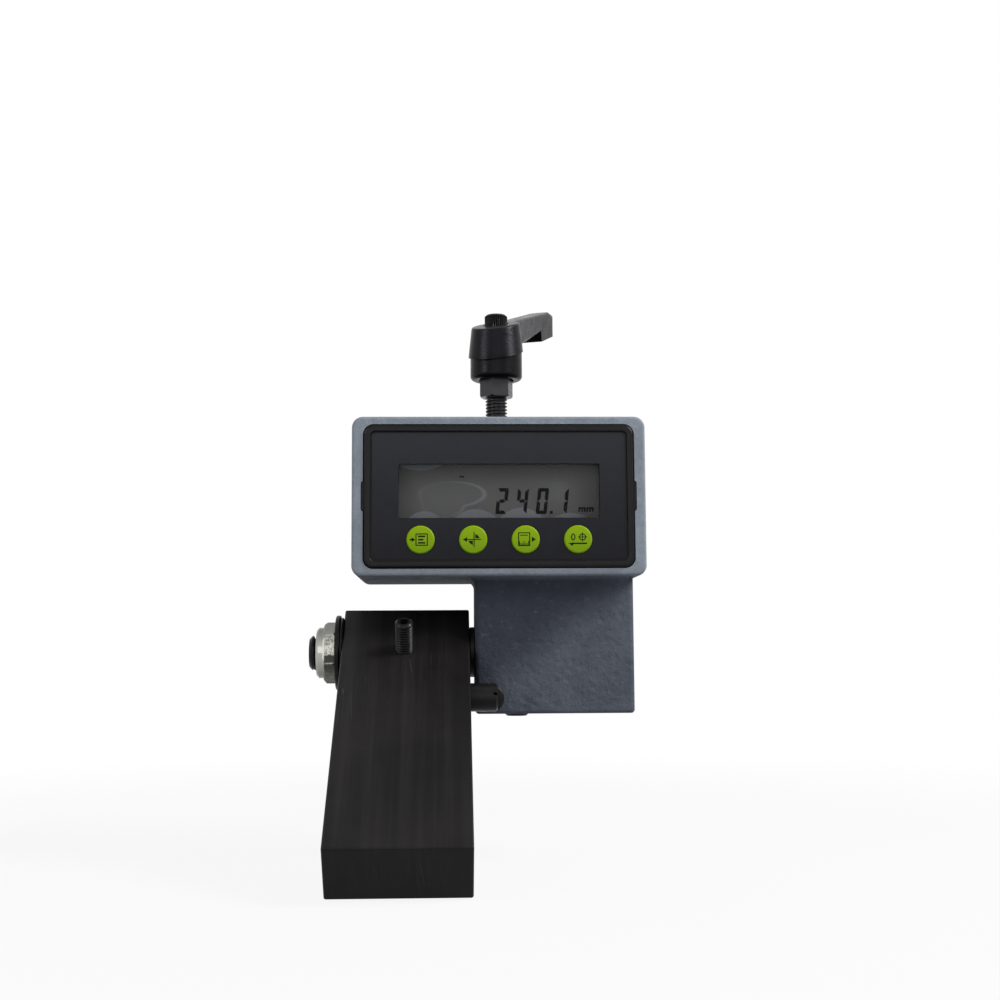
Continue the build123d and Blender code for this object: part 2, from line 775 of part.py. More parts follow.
def lever_hub():
    """Hub of the lever: a plain ring below, a tapered skirt above, both edges tilted."""
    ring = rod_z(ring_diameter / 2, 0, (skirt_low + skirt_top) / 2, 0, 0)
    low = ring.edges().filter_by(GeomType.CIRCLE).sort_by(Axis.Z)[0]
    ring = fillet(low, ring_round)
    height = skirt_top - skirt_low
    slant = (skirt_low_radius - skirt_top_radius) / height
    spare = 8.0
    middle = Pos(0, 0, (skirt_low + skirt_top) / 2)
    cone = middle * Cone(skirt_low_radius + slant * spare, skirt_top_radius - slant * spare,
                         height + 2 * spare)
    tilted = height * cos(radians(lever_rise))
    wide = 3 * ring_diameter
    between = middle * Rot(lever_rise, 0, 0) * Box(wide, wide, tilted)
    skirt = cone & between
    return ring + fillet(skirt.edges().sort_by(Axis.Z)[-1], skirt_round)


def lever_side_view():
    """Side view of the lever's arm: a rising neck, then a deeper grip with a round end."""
    low_end = lever_reach - grip_low_round
    top_end = lever_reach - grip_top_round
    with BuildSketch(Plane.YZ) as side:
        with BuildLine():
            Polyline((top_end, grip_top), (0, arm_top_root), (0, neck_root),
                     (grip_start, neck_end), (grip_start + step_slant, grip_low),
                     (low_end, grip_end_low))
            ThreePointArc((low_end, grip_end_low), (lever_reach, grip_tip), (top_end, grip_top))
        make_face()
    return side.sketch


def lever_plan_view():
    """Plan of the lever's arm: waisted sides and a half-round end."""
    corner = lever_reach - grip_half_width
    with BuildSketch() as plan:
        with BuildLine():
            Line((-neck_root_half_width, 0), (neck_root_half_width, 0))
            ThreePointArc((neck_root_half_width, 0), (neck_half_width, waist_run),
                          (grip_half_width, corner))
            ThreePointArc((grip_half_width, corner), (0, lever_reach + 0.5),
                          (-grip_half_width, corner))
            ThreePointArc((-grip_half_width, corner), (-neck_half_width, waist_run),
                          (-neck_root_half_width, 0))
        make_face()
    return plan.sketch


def lever_arm():
    """Arm of the lever: its side view, its plan and its rounded end view taken together."""
    side_form = extrude(lever_side_view(), amount=grip_half_width + 1, both=True)
    arm = side_form & extrude(lever_plan_view(), amount=grip_top + 1)
    upper = [e for e in arm.edges() if e.length > 0.6 * lever_reach]
    end_view = RectangleRounded(2 * grip_half_width, 2 * grip_top, grip_end_round)
    return fillet(upper, grip_round) & extrude(Plane.XZ * end_view, amount=lever_reach + 1,
                                               both=True)


def lever():
    """Cast clamp lever, bored for the toothed stud, the spring and the retaining screw."""
    teeth = tooth_start_z - lever_rim_z
    shelf_low = insert_top_z + lever_seat_gap - lever_rim_z
    shelf_top = shelf_top_z - lever_rim_z
    body = lever_hub() + lever_arm()
    body -= rod_z(lever_bore_radius, -1, teeth, 0, 0)
    inner = extrude(toothed_outline(tooth_tip + tooth_gap, tooth_root + tooth_gap),
                    amount=tooth_length)
    body -= Pos(0, 0, teeth) * inner
    body -= rod_z(lever_bore_radius, teeth + tooth_length, shelf_low, 0, 0)
    body -= rod_z(retainer_thread / 2 + retainer_hole_gap, shelf_low - 1, shelf_top + 1, 0, 0)
    body -= rod_z(spring_bore_radius, shelf_top, grip_top, 0, 0)
    return lever_frame * body


def retaining_screw():
    """Socket head screw that holds the lever and its spring on the stud."""
    top = retainer_seat_z + retainer_head_height
    head = rod_z(retainer_head / 2, retainer_seat_z, top, 0, 0)
    rim = head.edges().filter_by(GeomType.CIRCLE).sort_by(Axis.Z)[-1]
    head = chamfer(rim, retainer_chamfer)
    head -= hex_prism(retainer_socket, top - retainer_socket_depth, top + 1)
    shank = rod_z(retainer_thread / 2, insert_top_z - retainer_bite, retainer_seat_z, 0, 0)
    return Pos(clamp_x, 0, 0) * (head + shank)


def lever_spring():
    """Compression spring that closes up when the lever is lifted off the teeth."""
    turns = int((spring_room - lever_lift) / spring_wire)
    rise = spring_room - spring_wire - 2 * spring_end_gap
    path = Helix(pitch=rise / turns, height=rise, radius=(spring_diameter - spring_wire) / 2)
    section = Plane(path @ 0, z_dir=path % 0) * RegularPolygon(spring_wire / 2, 8)
    wire = sweep(section, path=path, is_frenet=True)
    return Pos(clamp_x, 0, shelf_top_z + spring_wire / 2 + spring_end_gap) * wire


def pivot_stud():
    """Pivot stud screwed into the lug, with a chamfered outer end."""
    length = lug_left + pivot_sunk - pivot_end_x
    rod = rounded_rod(pivot_diameter / 2, length, pivot_chamfer, pivot_chamfer)
    return Pos(pivot_end_x, pivot_y, pivot_z) * Rot(0, 90, 0) * rod


def pivot_lock_screw():
    """Headless screw from below that locks the pivot stud in the lug."""
    low = lug_bottom - lock_screw_proud
    top = pivot_z - pivot_diameter / 2 - 0.02
    screw = set_screw(clamp_thread, top - low)
    return Pos(lock_screw_x, pivot_y, top) * Rot(180, 0, 0) * screw


def pivot_nut():
    """Lock nut: a hexagon with a round collar that holds a nylon ring."""
    bore = pivot_diameter / 2 + thread_gap
    corner = nut_width / 2 / cos(radians(30))
    hexagon = hex_prism(nut_width, 0, nut_hex_length)
    hexagon = hexagon & rounded_rod(corner, nut_hex_length, 0.6, 1.0)
    collar = Pos(0, 0, nut_hex_length) * rounded_rod(nut_collar_diameter / 2,
                                                     nut_collar_length, 0, 0.8)
    nut = hexagon + collar - rod_z(bore, -1, nut_hex_length + nut_collar_length + 1, 0, 0)
    nut -= rod_z(bore + nut_ring_wall + 0.02, nut_ring_start,
                 nut_ring_start + nut_ring_length + 0.02, 0, 0)
    return Pos(washer_left, pivot_y, pivot_z) * Rot(0, -90, 0) * Rot(0, 0, nut_turn) * nut


def nut_ring():
    """Nylon ring inside the lock nut's collar."""
    bore = pivot_diameter / 2 + thread_gap
    ring = rod_z(bore + nut_ring_wall, nut_ring_start, nut_ring_start + nut_ring_length, 0, 0)
    ring -= rod_z(bore, 0, nut_hex_length + nut_collar_length + 1, 0, 0)
    return Pos(washer_left, pivot_y, pivot_z) * Rot(0, -90, 0) * ring


def flat_washer(diameter, x0, x1):
    """A plain washer on the pivot stud."""
    washer = rod_x(diameter / 2, x0, x1, pivot_y, pivot_z)
    rims = washer.edges().filter_by(GeomType.CIRCLE)
    washer = chamfer(rims, washer_chamfer)
    return washer - rod_x(pivot_diameter / 2 + washer_bore_gap, x0 - 1, x1 + 1, pivot_y, pivot_z)


def pivot_washer():
    """Large washer under the lock nut."""
    return flat_washer(washer_diameter, washer_left, slide_washer_left)


def slide_washer():
    """Thin plastic washer that the arm's outer side slides on."""
    return flat_washer(slide_washer_diameter, slide_washer_left, arm_left - side_play)


def thrust_washer():
    """Washer between the arm and the lug."""
    return flat_washer(thrust_washer_diameter, arm_right + side_play, lug_left)


def stop_arm():
    """Flat bar that swings on the pivot stud, bored for its pin and its screw."""
    bar = block(arm_left, arm_right, -arm_front, arm_back, -arm_thickness / 2,
                arm_thickness / 2)
    bar = fillet(bar.edges(), arm_edge_round)
    bar -= rod_x(pivot_diameter / 2 + pivot_bore_gap, arm_left - 1, arm_right + 1, 0, 0)
    bar -= rod_x(rest_pin_diameter / 2 + rest_pin_fit, arm_right - rest_pin_sunk,
                 arm_right + 1, -rest_pin_along, 0)
    bar -= rod_z(arm_screw_diameter / 2 + thread_gap,
                 arm_thickness / 2 + arm_screw_proud - arm_screw_length - 1,
                 arm_thickness / 2 + 1, arm_screw_x, -arm_screw_along)
    return arm_frame * bar


def arm_screw():
    """Headless screw in the top of the arm, its socket outward."""
    low = arm_thickness / 2 + arm_screw_proud - arm_screw_length
    screw = set_screw(arm_screw_diameter, arm_screw_length)
    return arm_frame * Pos(arm_screw_x, -arm_screw_along, low) * screw


def rest_pin():
    """Slotted pin in the arm's side that comes down on the rest screw."""
    start = arm_right - rest_pin_sunk
    length = rest_pin_sunk + rest_pin_reach
    pin = rounded_rod(rest_pin_diameter / 2, length, 0.5, 0.6)
    half = rest_pin_slot / 2
    pin -= block(-half, half, -rest_pin_diameter, rest_pin_diameter,
                 length - rest_pin_slot_depth, length + 1)
    place = Pos(start, rest_pin_y, rest_pin_z) * Rot(-rest_pin_slot_tilt, 0, 0)
    return place * Rot(0, 90, 0) * pin


def rest_screw():
    """Flat-headed rest screw on the lug's front face."""
    head = rod_y(rest_screw_head / 2, rest_head_y, lug_front, rest_screw_x, rest_screw_z)
    front = head.edges().filter_by_position(Axis.Y, rest_head_y - 0.01, rest_head_y + 0.01)
    head = chamfer(front, rest_screw_chamfer)
    return head + rod_y(rest_screw_thread / 2, lug_front, lug_front + rest_screw_length,
                        rest_screw_x, rest_screw_z)


def arm_swing_limit():
    """Angle at which the arm's screw would meet the underside of the carriage."""
    tip_radius = arm_screw_diameter / 2 - set_screw_chamfer
    along = arm_screw_along + tip_radius
    up = arm_thickness / 2 + arm_screw_proud
    reach = hypot(along, up)
    room = body_bottom - pivot_z
    return degrees(asin(room / reach)) - degrees(atan2(up, along)) + arm_slope


def model():
    """Every node of the part, by name."""
    nodes = {
        "carriage_casting": carriage_casting(),
        "module_front": module_front(),
        "module_rear": module_rear(),
        "front_foil": front_foil(),
        "display_window": display_window(),
        "display_cell": display_cell(),
        "cell_holder": cell_holder(),
        "contact_strips": contact_strips(),
        "circuit_board": circuit_board(),
        "key_switches": key_switches(),
        "module_screws": module_screws(),
        "battery_cup": battery_cup(),
        "button_battery": button_battery(),
        "battery_cover": battery_cover(),
        "sensor_head": sensor_head(),
        "sensor_screws": sensor_screws(),
        "sensor_header": sensor_header(),
        "clamp_pad": clamp_pad(),
        "clamp_stud": clamp_stud(),
        "clamp_lever": lever(),
        "retaining_screw": retaining_screw(),
        "lever_spring": lever_spring(),
        "pivot_stud": pivot_stud(),
        "pivot_lock_screw": pivot_lock_screw(),
        "pivot_nut": pivot_nut(),
        "nut_ring": nut_ring(),
        "pivot_washer": pivot_washer(),
        "slide_washer": slide_washer(),
        "thrust_washer": thrust_washer(),
        "stop_arm": stop_arm(),
        "arm_screw": arm_screw(),
        "rest_pin": rest_pin(),
        "rest_screw": rest_screw(),
    }
    for i, x in enumerate(key_places):
        nodes[f"key_cap_{i + 1}"] = key_cap(x)
        nodes[f"key_plunger_{i + 1}"] = key_plunger(x)
    return nodes


def as_shape(piece):
    """One compound of the solids in a piece or a list of pieces."""
    pieces = piece if isinstance(piece, list) else [piece]
    solids = [solid for item in pieces for solid in item.solids()]
    return solids[0] if len(solids) == 1 else Compound(children=solids)


os.makedirs("parts", exist_ok=True)
for name, piece in model().items():
    export_step(as_shape(piece), f"parts/{name}.step")
print("arm swings up to", round(arm_swing_limit(), 2), "degrees")
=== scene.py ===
import bmesh
import bpy
import json
import math
from collections import namedtuple
from mathutils import Matrix, Vector

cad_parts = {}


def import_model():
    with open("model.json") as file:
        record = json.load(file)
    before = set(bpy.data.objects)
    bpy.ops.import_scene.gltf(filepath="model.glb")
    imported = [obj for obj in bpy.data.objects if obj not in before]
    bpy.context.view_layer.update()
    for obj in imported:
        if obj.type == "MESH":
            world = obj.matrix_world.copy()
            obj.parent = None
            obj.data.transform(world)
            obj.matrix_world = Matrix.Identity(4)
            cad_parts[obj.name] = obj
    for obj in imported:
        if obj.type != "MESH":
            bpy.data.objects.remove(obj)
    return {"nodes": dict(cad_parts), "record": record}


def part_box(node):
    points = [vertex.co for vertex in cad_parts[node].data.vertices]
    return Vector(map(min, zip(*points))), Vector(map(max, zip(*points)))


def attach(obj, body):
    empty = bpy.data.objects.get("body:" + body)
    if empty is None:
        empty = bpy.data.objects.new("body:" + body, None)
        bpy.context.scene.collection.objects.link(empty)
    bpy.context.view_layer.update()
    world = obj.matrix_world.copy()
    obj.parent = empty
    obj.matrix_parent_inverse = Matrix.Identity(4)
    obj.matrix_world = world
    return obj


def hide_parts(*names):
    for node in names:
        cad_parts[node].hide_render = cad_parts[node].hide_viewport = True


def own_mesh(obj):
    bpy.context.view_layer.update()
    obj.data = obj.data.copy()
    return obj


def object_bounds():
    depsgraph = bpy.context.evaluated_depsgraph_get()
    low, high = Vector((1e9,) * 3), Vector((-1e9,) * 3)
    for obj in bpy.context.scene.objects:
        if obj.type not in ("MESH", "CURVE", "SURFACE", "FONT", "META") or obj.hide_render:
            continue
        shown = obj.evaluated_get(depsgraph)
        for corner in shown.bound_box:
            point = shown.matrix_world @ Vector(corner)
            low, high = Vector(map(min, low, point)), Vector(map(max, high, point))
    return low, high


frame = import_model()
cad_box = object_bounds()
nodes = frame["nodes"]
MM = 0.001

# Lengths in metres that no box gives: from the foil down to the lug's top, from the casting's
# right side in to the lug's, along the pivot nut's collar, and up to the top of the painted shade
# at the foot of the lever's hub. The slope of the stop arm at rest
LUG_BELOW_FOIL = 0.0055
LUG_INSET = 0.0042
NUT_COLLAR = 0.0030
HUB_FOOT = 0.0072
ARM_SLOPE = math.radians(36.2)

# Places of the display, the keys, the lug, the nut and the lever's hub
cell_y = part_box("display_cell")[0].y
key_boxes = [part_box(f"key_cap_{i + 1}") for i in range(4)]
key_y = key_boxes[0][0].y
key_z = (key_boxes[0][0].z + key_boxes[0][1].z) / 2
foil_low, foil_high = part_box("front_foil")
lug_top_z = foil_low.z - LUG_BELOW_FOIL
casting_low, casting_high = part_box("carriage_casting")
lug_right_x = casting_high.x - LUG_INSET
rim_y = casting_low.y
nut_low, nut_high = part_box("pivot_nut")
nut_z = (nut_low.z + nut_high.z) / 2
nut_flats_x = nut_low.x + NUT_COLLAR
hub_foot_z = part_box("clamp_lever")[0].z + HUB_FOOT


# Materials

class Shader:
    """A material with short calls for the nodes that the surfaces use."""

    def __init__(self, name, colour, roughness, metallic=0.0, specular=0.5):
        self.material = bpy.data.materials.new(name)
        self.material.use_nodes = True
        self.tree = self.material.node_tree
        self.shader = self.tree.nodes["Principled BSDF"]
        self.shader.inputs["Base Color"].default_value = (*colour, 1)
        self.shader.inputs["Roughness"].default_value = roughness
        self.shader.inputs["Metallic"].default_value = metallic
        self.shader.inputs["Specular IOR Level"].default_value = specular
        self.material.diffuse_color = (*colour, 1)
        self.place = self.tree.nodes.new("ShaderNodeTexCoord").outputs["Object"]

    def put(self, socket, value):
        """Links a value to a socket, or sets it."""
        if isinstance(value, bpy.types.NodeSocket):
            self.tree.links.new(value, socket)
        elif isinstance(value, tuple) and socket.type == "RGBA":
            socket.default_value = (*value, 1)
        else:
            socket.default_value = value

    def scaled(self, place, x, y, z):
        """A place scaled along each axis."""
        node = self.tree.nodes.new("ShaderNodeVectorMath")
        node.operation = "MULTIPLY"
        self.put(node.inputs[0], place)
        self.put(node.inputs[1], (x, y, z))
        return node.outputs[0]

    def stretched(self, x, y, z):
        """Object coordinates scaled along each axis."""
        return self.scaled(self.place, x, y, z)

    def turned(self, x, y, z, angle):
        """Object coordinates turned about X and then scaled along each axis."""
        node = self.tree.nodes.new("ShaderNodeMapping")
        node.vector_type = "TEXTURE"
        self.put(node.inputs["Vector"], self.place)
        self.put(node.inputs["Rotation"], (angle, 0, 0))
        return self.scaled(node.outputs[0], x, y, z)

    def noise(self, scale, detail=3.0, roughness=0.5, place=None):
        node = self.tree.nodes.new("ShaderNodeTexNoise")
        self.put(node.inputs["Vector"], place or self.place)
        self.put(node.inputs["Scale"], scale)
        self.put(node.inputs["Detail"], detail)
        self.put(node.inputs["Roughness"], roughness)
        return node.outputs["Fac"]

    def cells(self, scale, place=None, feature="F1"):
        node = self.tree.nodes.new("ShaderNodeTexVoronoi")
        node.feature = feature
        self.put(node.inputs["Vector"], place or self.place)
        self.put(node.inputs["Scale"], scale)
        return node.outputs["Distance"]

    def remap(self, value, low, high, to_low=0.0, to_high=1.0, kind="LINEAR"):
        """A value from low to high, spread from to_low to to_high and held there outside."""
        node = self.tree.nodes.new("ShaderNodeMapRange")
        node.interpolation_type = kind
        self.put(node.inputs["Value"], value)
        self.put(node.inputs["From Min"], low)
        self.put(node.inputs["From Max"], high)
        self.put(node.inputs["To Min"], to_low)
        self.put(node.inputs["To Max"], to_high)
        return node.outputs["Result"]

    def fade(self, value, low, high, to_low=0.0, to_high=1.0):
        """Like remap, with soft ends."""
        return self.remap(value, low, high, to_low, to_high, "SMOOTHSTEP")

    def maths(self, operation, a, b=0.0):
        node = self.tree.nodes.new("ShaderNodeMath")
        node.operation = operation
        self.put(node.inputs[0], a)
        self.put(node.inputs[1], b)
        return node.outputs[0]

    def plus(self, a, b):
        return self.maths("ADD", a, b)

    def minus(self, a, b):
        return self.maths("SUBTRACT", a, b)

    def times(self, a, b):
        return self.maths("MULTIPLY", a, b)

    def over(self, a, b):
        return self.maths("DIVIDE", a, b)

    def larger(self, a, b):
        return self.maths("MAXIMUM", a, b)

    def size(self, a):
        """A value without its sign."""
        return self.maths("ABSOLUTE", a)

    def mixed(self, factor, a, b):
        """a where the factor is 0 and b where it is 1. Sockets 6 and 7 are the two colours."""
        node = self.tree.nodes.new("ShaderNodeMix")
        node.data_type = "RGBA"
        self.put(node.inputs[0], factor)
        self.put(node.inputs[6], a)
        self.put(node.inputs[7], b)
        return node.outputs[2]

    def component(self, vector, axis):
        node = self.tree.nodes.new("ShaderNodeSeparateXYZ")
        self.put(node.inputs[0], vector)
        return node.outputs[axis]

    def part(self, axis):
        """One object coordinate, in metres."""
        return self.component(self.place, axis)

    def facing(self, axis):
        """One component of the surface normal."""
        geometry = self.tree.nodes.new("ShaderNodeNewGeometry")
        return self.component(geometry.outputs["Normal"], axis)

    def ellipse(self, x, z, centre_x, centre_z, half_x, half_z):
        """1 at the ellipse's centre, 0 on its line and less outside it."""
        u = self.over(self.minus(x, centre_x), half_x)
        v = self.over(self.minus(z, centre_z), half_z)
        return self.minus(1.0, self.plus(self.times(u, u), self.times(v, v)))

    def bump(self, height, strength, distance):
        node = self.tree.nodes.new("ShaderNodeBump")
        self.put(node.inputs["Strength"], strength)
        self.put(node.inputs["Distance"], distance)
        self.put(node.inputs["Height"], height)
        self.put(self.shader.inputs["Normal"], node.outputs["Normal"])

    def colour(self, value):
        self.put(self.shader.inputs["Base Color"], value)

    def rough(self, value):
        self.put(self.shader.inputs["Roughness"], value)


# Pale paint on the casting's front rim, partly wear and partly painted light, in metres: how far
# behind the front edge the pale rim ends and up to where it is full, how ragged its border is, and
# how far the soft step from the body to the lug reaches above and below the lug's top
WEAR_AND_LIGHT_END = 0.0075
WEAR_AND_LIGHT_FULL = 0.0020
WEAR_AND_LIGHT_RAGGED = 0.0012
STEP_ABOVE = 0.0030
STEP_BELOW = 0.0020


def casting_paint():
    """Blue-grey paint on a cast skin: the rim paler from wear and painted light, the lug in painted
    shade.
    """
    rim_tones = (0.200, 0.226, 0.262), (0.252, 0.284, 0.328)
    body_tones = (0.098, 0.111, 0.136), (0.142, 0.159, 0.190)
    # The lug's darker tones are painted shade under the body
    lug_tones = (0.060, 0.068, 0.088), (0.090, 0.100, 0.125)
    blotch_tone = (0.128, 0.146, 0.174)
    scuff_tone = (0.36, 0.39, 0.43)
    speck_tone = (0.12, 0.13, 0.15)
    painted_shadow_tone = (0.024, 0.028, 0.040)
    pit_tone = (0.030, 0.034, 0.044)
    painted_glint_tone = (0.115, 0.128, 0.156)
    s = Shader("casting_paint", (0.150, 0.168, 0.198), 0.5, specular=0.14)

    # Where the rim is pale, from wear and painted light, and where the lug begins
    ragged = s.times(s.remap(s.noise(240, 4, 0.65), 0.3, 0.7, -1.0, 1.0), WEAR_AND_LIGHT_RAGGED)
    worn = s.fade(s.plus(s.part("Y"), ragged), rim_y + WEAR_AND_LIGHT_END, rim_y + WEAR_AND_LIGHT_FULL)
    lug = s.fade(s.part("Z"), lug_top_z + STEP_ABOVE, lug_top_z - STEP_BELOW)
    pale_rim = s.times(worn, s.minus(1.0, lug))

    # Rim, worn and painted lighter as if lit
    mottle = s.remap(s.noise(70, 5, 0.65), 0.33, 0.70)
    rim = s.mixed(mottle, *rim_tones)
    blotch = s.remap(s.noise(480, 4, 0.7), 0.36, 0.64)
    rim = s.mixed(s.times(blotch, 0.30), rim, blotch_tone)
    rim = s.mixed(s.remap(s.noise(900, 3, 0.7), 0.60, 0.72, 0.0, 0.45), rim, scuff_tone)
    rim = s.mixed(s.remap(s.noise(1500, 2, 0.6), 0.68, 0.76, 0.0, 0.5), rim, speck_tone)

    # Body and lug. The lug is painted darker as shade, and a painted shadow of the body's overhang
    # spreads from the lug's upper right
    across = s.times(s.minus(lug_right_x, s.part("X")), 0.8)
    corner = s.plus(across, s.minus(s.part("Z"), lug_top_z))
    painted_shadow = s.fade(corner, -0.008, 0.012, 0.0, 0.86)
    skin = s.mixed(s.times(painted_shadow, lug), s.mixed(mottle, *lug_tones), painted_shadow_tone)
    cast = s.mixed(lug, s.mixed(mottle, *body_tones), skin)
    cast = s.mixed(s.remap(s.noise(700, 4, 0.7), 0.28, 0.42, 0.50, 0.0), cast, pit_tone)
    # Pale flecks are painted glints on the cast bumps
    cast = s.mixed(s.remap(s.noise(420, 3, 0.7), 0.60, 0.74, 0.0, 0.45), cast, painted_glint_tone)
    s.colour(s.mixed(pale_rim, cast, rim))

    # The worn rim is smoother than the cast skin
    smooth = s.remap(s.noise(300, 3), 0.3, 0.75, 0.34, 0.56)
    s.rough(s.plus(smooth, s.times(s.minus(1.0, pale_rim), 0.30)))
    wave = s.noise(75, 3, 0.55)
    fine = s.plus(s.times(s.noise(900, 4, 0.65), 0.50), wave)
    dimple = s.fade(s.cells(260), 0.0, 0.45, -0.45, 0.0)
    coarse = s.plus(s.plus(s.noise(600, 5, 0.68), dimple), wave)
    s.bump(s.mixed(pale_rim, coarse, fine), 0.90, 0.00050)
    return s.material


def module_plastic():
    """Dark moulded plastic with a fine spark-eroded grain."""
    s = Shader("module_plastic", (0.007, 0.0066, 0.0072), 0.30, specular=0.14)
    s.colour(s.mixed(s.noise(150, 3), (0.0040, 0.0038, 0.0046), (0.0080, 0.0075, 0.0084)))
    s.rough(s.remap(s.noise(700, 2), 0.3, 0.7, 0.26, 0.42))
    s.bump(s.noise(2600, 2), 0.25, 0.00004)
    return s.material


def foil_print():
    """Charcoal print under a satin film, painted paler towards its upper edge as light from above.
    """
    low_tones = (0.0040, 0.0042, 0.0064), (0.0062, 0.0064, 0.0092)
    top_tones = (0.0180, 0.0186, 0.0240), (0.0215, 0.0222, 0.0280)
    s = Shader("foil_print", (0.012, 0.013, 0.016), 0.40, specular=0.12)
    up = s.remap(s.part("Z"), foil_low.z, foil_high.z)
    cloud = s.noise(30, 2)
    # Painted lighter towards the top, as light from above
    s.colour(s.mixed(up, s.mixed(cloud, *low_tones), s.mixed(cloud, *top_tones)))
    s.rough(s.remap(s.noise(400, 2), 0.3, 0.7, 0.34, 0.46))
    s.bump(s.noise(5200, 2), 0.15, 0.00002)
    return s.material


def clear_window():
    """Clear pane: mostly see-through, with a faint scuff in its gloss."""
    s = Shader("clear_window", (0.045, 0.047, 0.050), 0.16, specular=0.16)
    s.shader.inputs["Alpha"].default_value = 0.05
    s.rough(s.remap(s.noise(160, 3), 0.4, 0.7, 0.12, 0.22))
    return s.material


# Patches on the display, in millimetres: the window's lower edge, the middle, half width and
# top of each hump that rises from it, the middle and half sizes of each oval, and from where
# to where the display darkens towards its sides
WINDOW_LOW = -7.05
HUMPS = [(-25.6, 5.9, -4.4), (-8.0, 7.8, -3.7), (7.8, 7.9, -3.2), (24.8, 6.6, -5.1)]
CORNER_PATCH = (-27.0, 13.6, 8.6, 3.9)
OUTLINED_PATCH = [(-16.2, 1.5, 11.3, 4.3), (-19.2, -1.2, 7.6, 5.3)]
SOFT_PATCH = (20.4, 2.7, 4.2, 4.6)
SIDE_START, SIDE_END = 18.0, 35.5


def lcd_glass():
    """Grey reflective display, with paler patches where the film touches it."""
    grain_tones = (0.093, 0.092, 0.090), (0.103, 0.102, 0.100)
    side_tone = (0.062, 0.062, 0.064)
    haze_tone = (0.148, 0.154, 0.167)
    s = Shader("lcd_glass", (0.090, 0.089, 0.087), 0.5, specular=0.05)
    x = s.over(s.part("X"), MM)
    z = s.over(s.part("Z"), MM)
    sides = s.fade(s.size(x), SIDE_START, SIDE_END, 0.0, 0.28)
    base = s.mixed(sides, s.mixed(s.noise(900, 2), *grain_tones), side_tone)
    haze = 0.0
    for centre, half, top in HUMPS:
        offset = s.over(s.minus(x, centre), half)
        line = s.times(s.times(offset, offset), WINDOW_LOW - top)
        rise = s.minus(s.plus(line, top), z)
        haze = s.larger(haze, s.fade(rise, -0.10, 0.12))
    haze = s.larger(haze, s.fade(s.ellipse(x, z, *CORNER_PATCH), -0.03, 0.05, 0.0, 0.8))
    blob = s.larger(*(s.ellipse(x, z, *oval) for oval in OUTLINED_PATCH))
    inside = s.fade(blob, -0.02, 0.06, 0.0, 0.10)
    edge = s.fade(s.size(blob), 0.03, 0.24, 1.0, 0.0)
    bright = s.fade(x, -20.0, -6.0, 0.24, 0.95)
    haze = s.larger(haze, s.plus(inside, s.times(edge, bright)))
    haze = s.larger(haze, s.fade(s.ellipse(x, z, *SOFT_PATCH), -0.4, 0.9, 0.0, 0.22))
    s.colour(s.mixed(haze, base, haze_tone))
    return s.material


def lcd_segment():
    """Near-black segments of the display."""
    s = Shader("lcd_segment", (0.0035, 0.0035, 0.0042), 0.6, specular=0.02)
    s.colour(s.mixed(s.noise(900, 2), (0.0028, 0.0028, 0.0034), (0.0048, 0.0048, 0.0056)))
    return s.material


# Half height over which a key's colour changes from painted shade at its foot to painted light at
# its top, in metres
KEY_SHADE_HALF = 0.0048


def key_green():
    """Yellow-green key, satin, painted darker towards its foot and lighter towards its top, as
    shade and light.
    """
    s = Shader("key_green", (0.20, 0.33, 0.002), 0.36, specular=0.12)
    up = s.remap(s.part("Z"), key_z - KEY_SHADE_HALF, key_z + KEY_SHADE_HALF)
    s.colour(s.mixed(up, (0.150, 0.262, 0.0008), (0.236, 0.385, 0.0015)))
    s.rough(s.remap(s.noise(500, 2), 0.3, 0.7, 0.30, 0.44))
    s.bump(s.noise(3000, 2), 0.15, 0.00003)
    return s.material


def key_print():
    """Dark green print of the keys' signs."""
    s = Shader("key_print", (0.006, 0.012, 0.001), 0.5, specular=0.08)
    s.colour(s.mixed(s.noise(1500, 2), (0.004, 0.008, 0.001), (0.010, 0.018, 0.002)))
    return s.material


# Height over which the painted shade at the foot of the lever's hub fades out, in metres
FOOT_SHADE = 0.0014


def powder_black():
    """Black powder coat with orange peel, painted lighter on top as light from above and painted
    shade round the hub's foot.
    """
    tones = (0.0034, 0.0034, 0.0056), (0.0066, 0.0066, 0.0098)
    shaded_foot_tone = (0.0010, 0.0010, 0.0016)
    top_light_tone = (0.020, 0.020, 0.023)
    s = Shader("lever_black", (0.005, 0.005, 0.008), 0.28, specular=0.10)
    # The hub's foot is painted darker as shade under the skirt
    foot = s.fade(s.part("Z"), hub_foot_z, hub_foot_z + FOOT_SHADE, 0.8, 0.0)
    base = s.mixed(foot, s.mixed(s.noise(160, 3), *tones), shaded_foot_tone)
    # Upward faces are painted lighter as light from above
    s.colour(s.mixed(s.fade(s.facing("Z"), 0.10, 0.95), base, top_light_tone))
    s.rough(s.remap(s.noise(300, 3), 0.3, 0.7, 0.23, 0.36))
    s.bump(s.noise(1300, 3, 0.6), 0.60, 0.00008)
    return s.material


def black_oxide():
    """Blackened steel with machining marks along its turning."""
    tones = (0.005, 0.005, 0.0055), (0.011, 0.011, 0.012)
    s = Shader("black_steel", tones[0], 0.34, specular=0.12)
    s.colour(s.mixed(s.remap(s.noise(260, 4, 0.6), 0.35, 0.7), *tones))
    s.rough(s.remap(s.noise(500, 3), 0.3, 0.7, 0.27, 0.43))
    s.bump(s.noise(60, 3, 0.5, s.stretched(30, 1, 1)), 0.25, 0.00004)
    return s.material


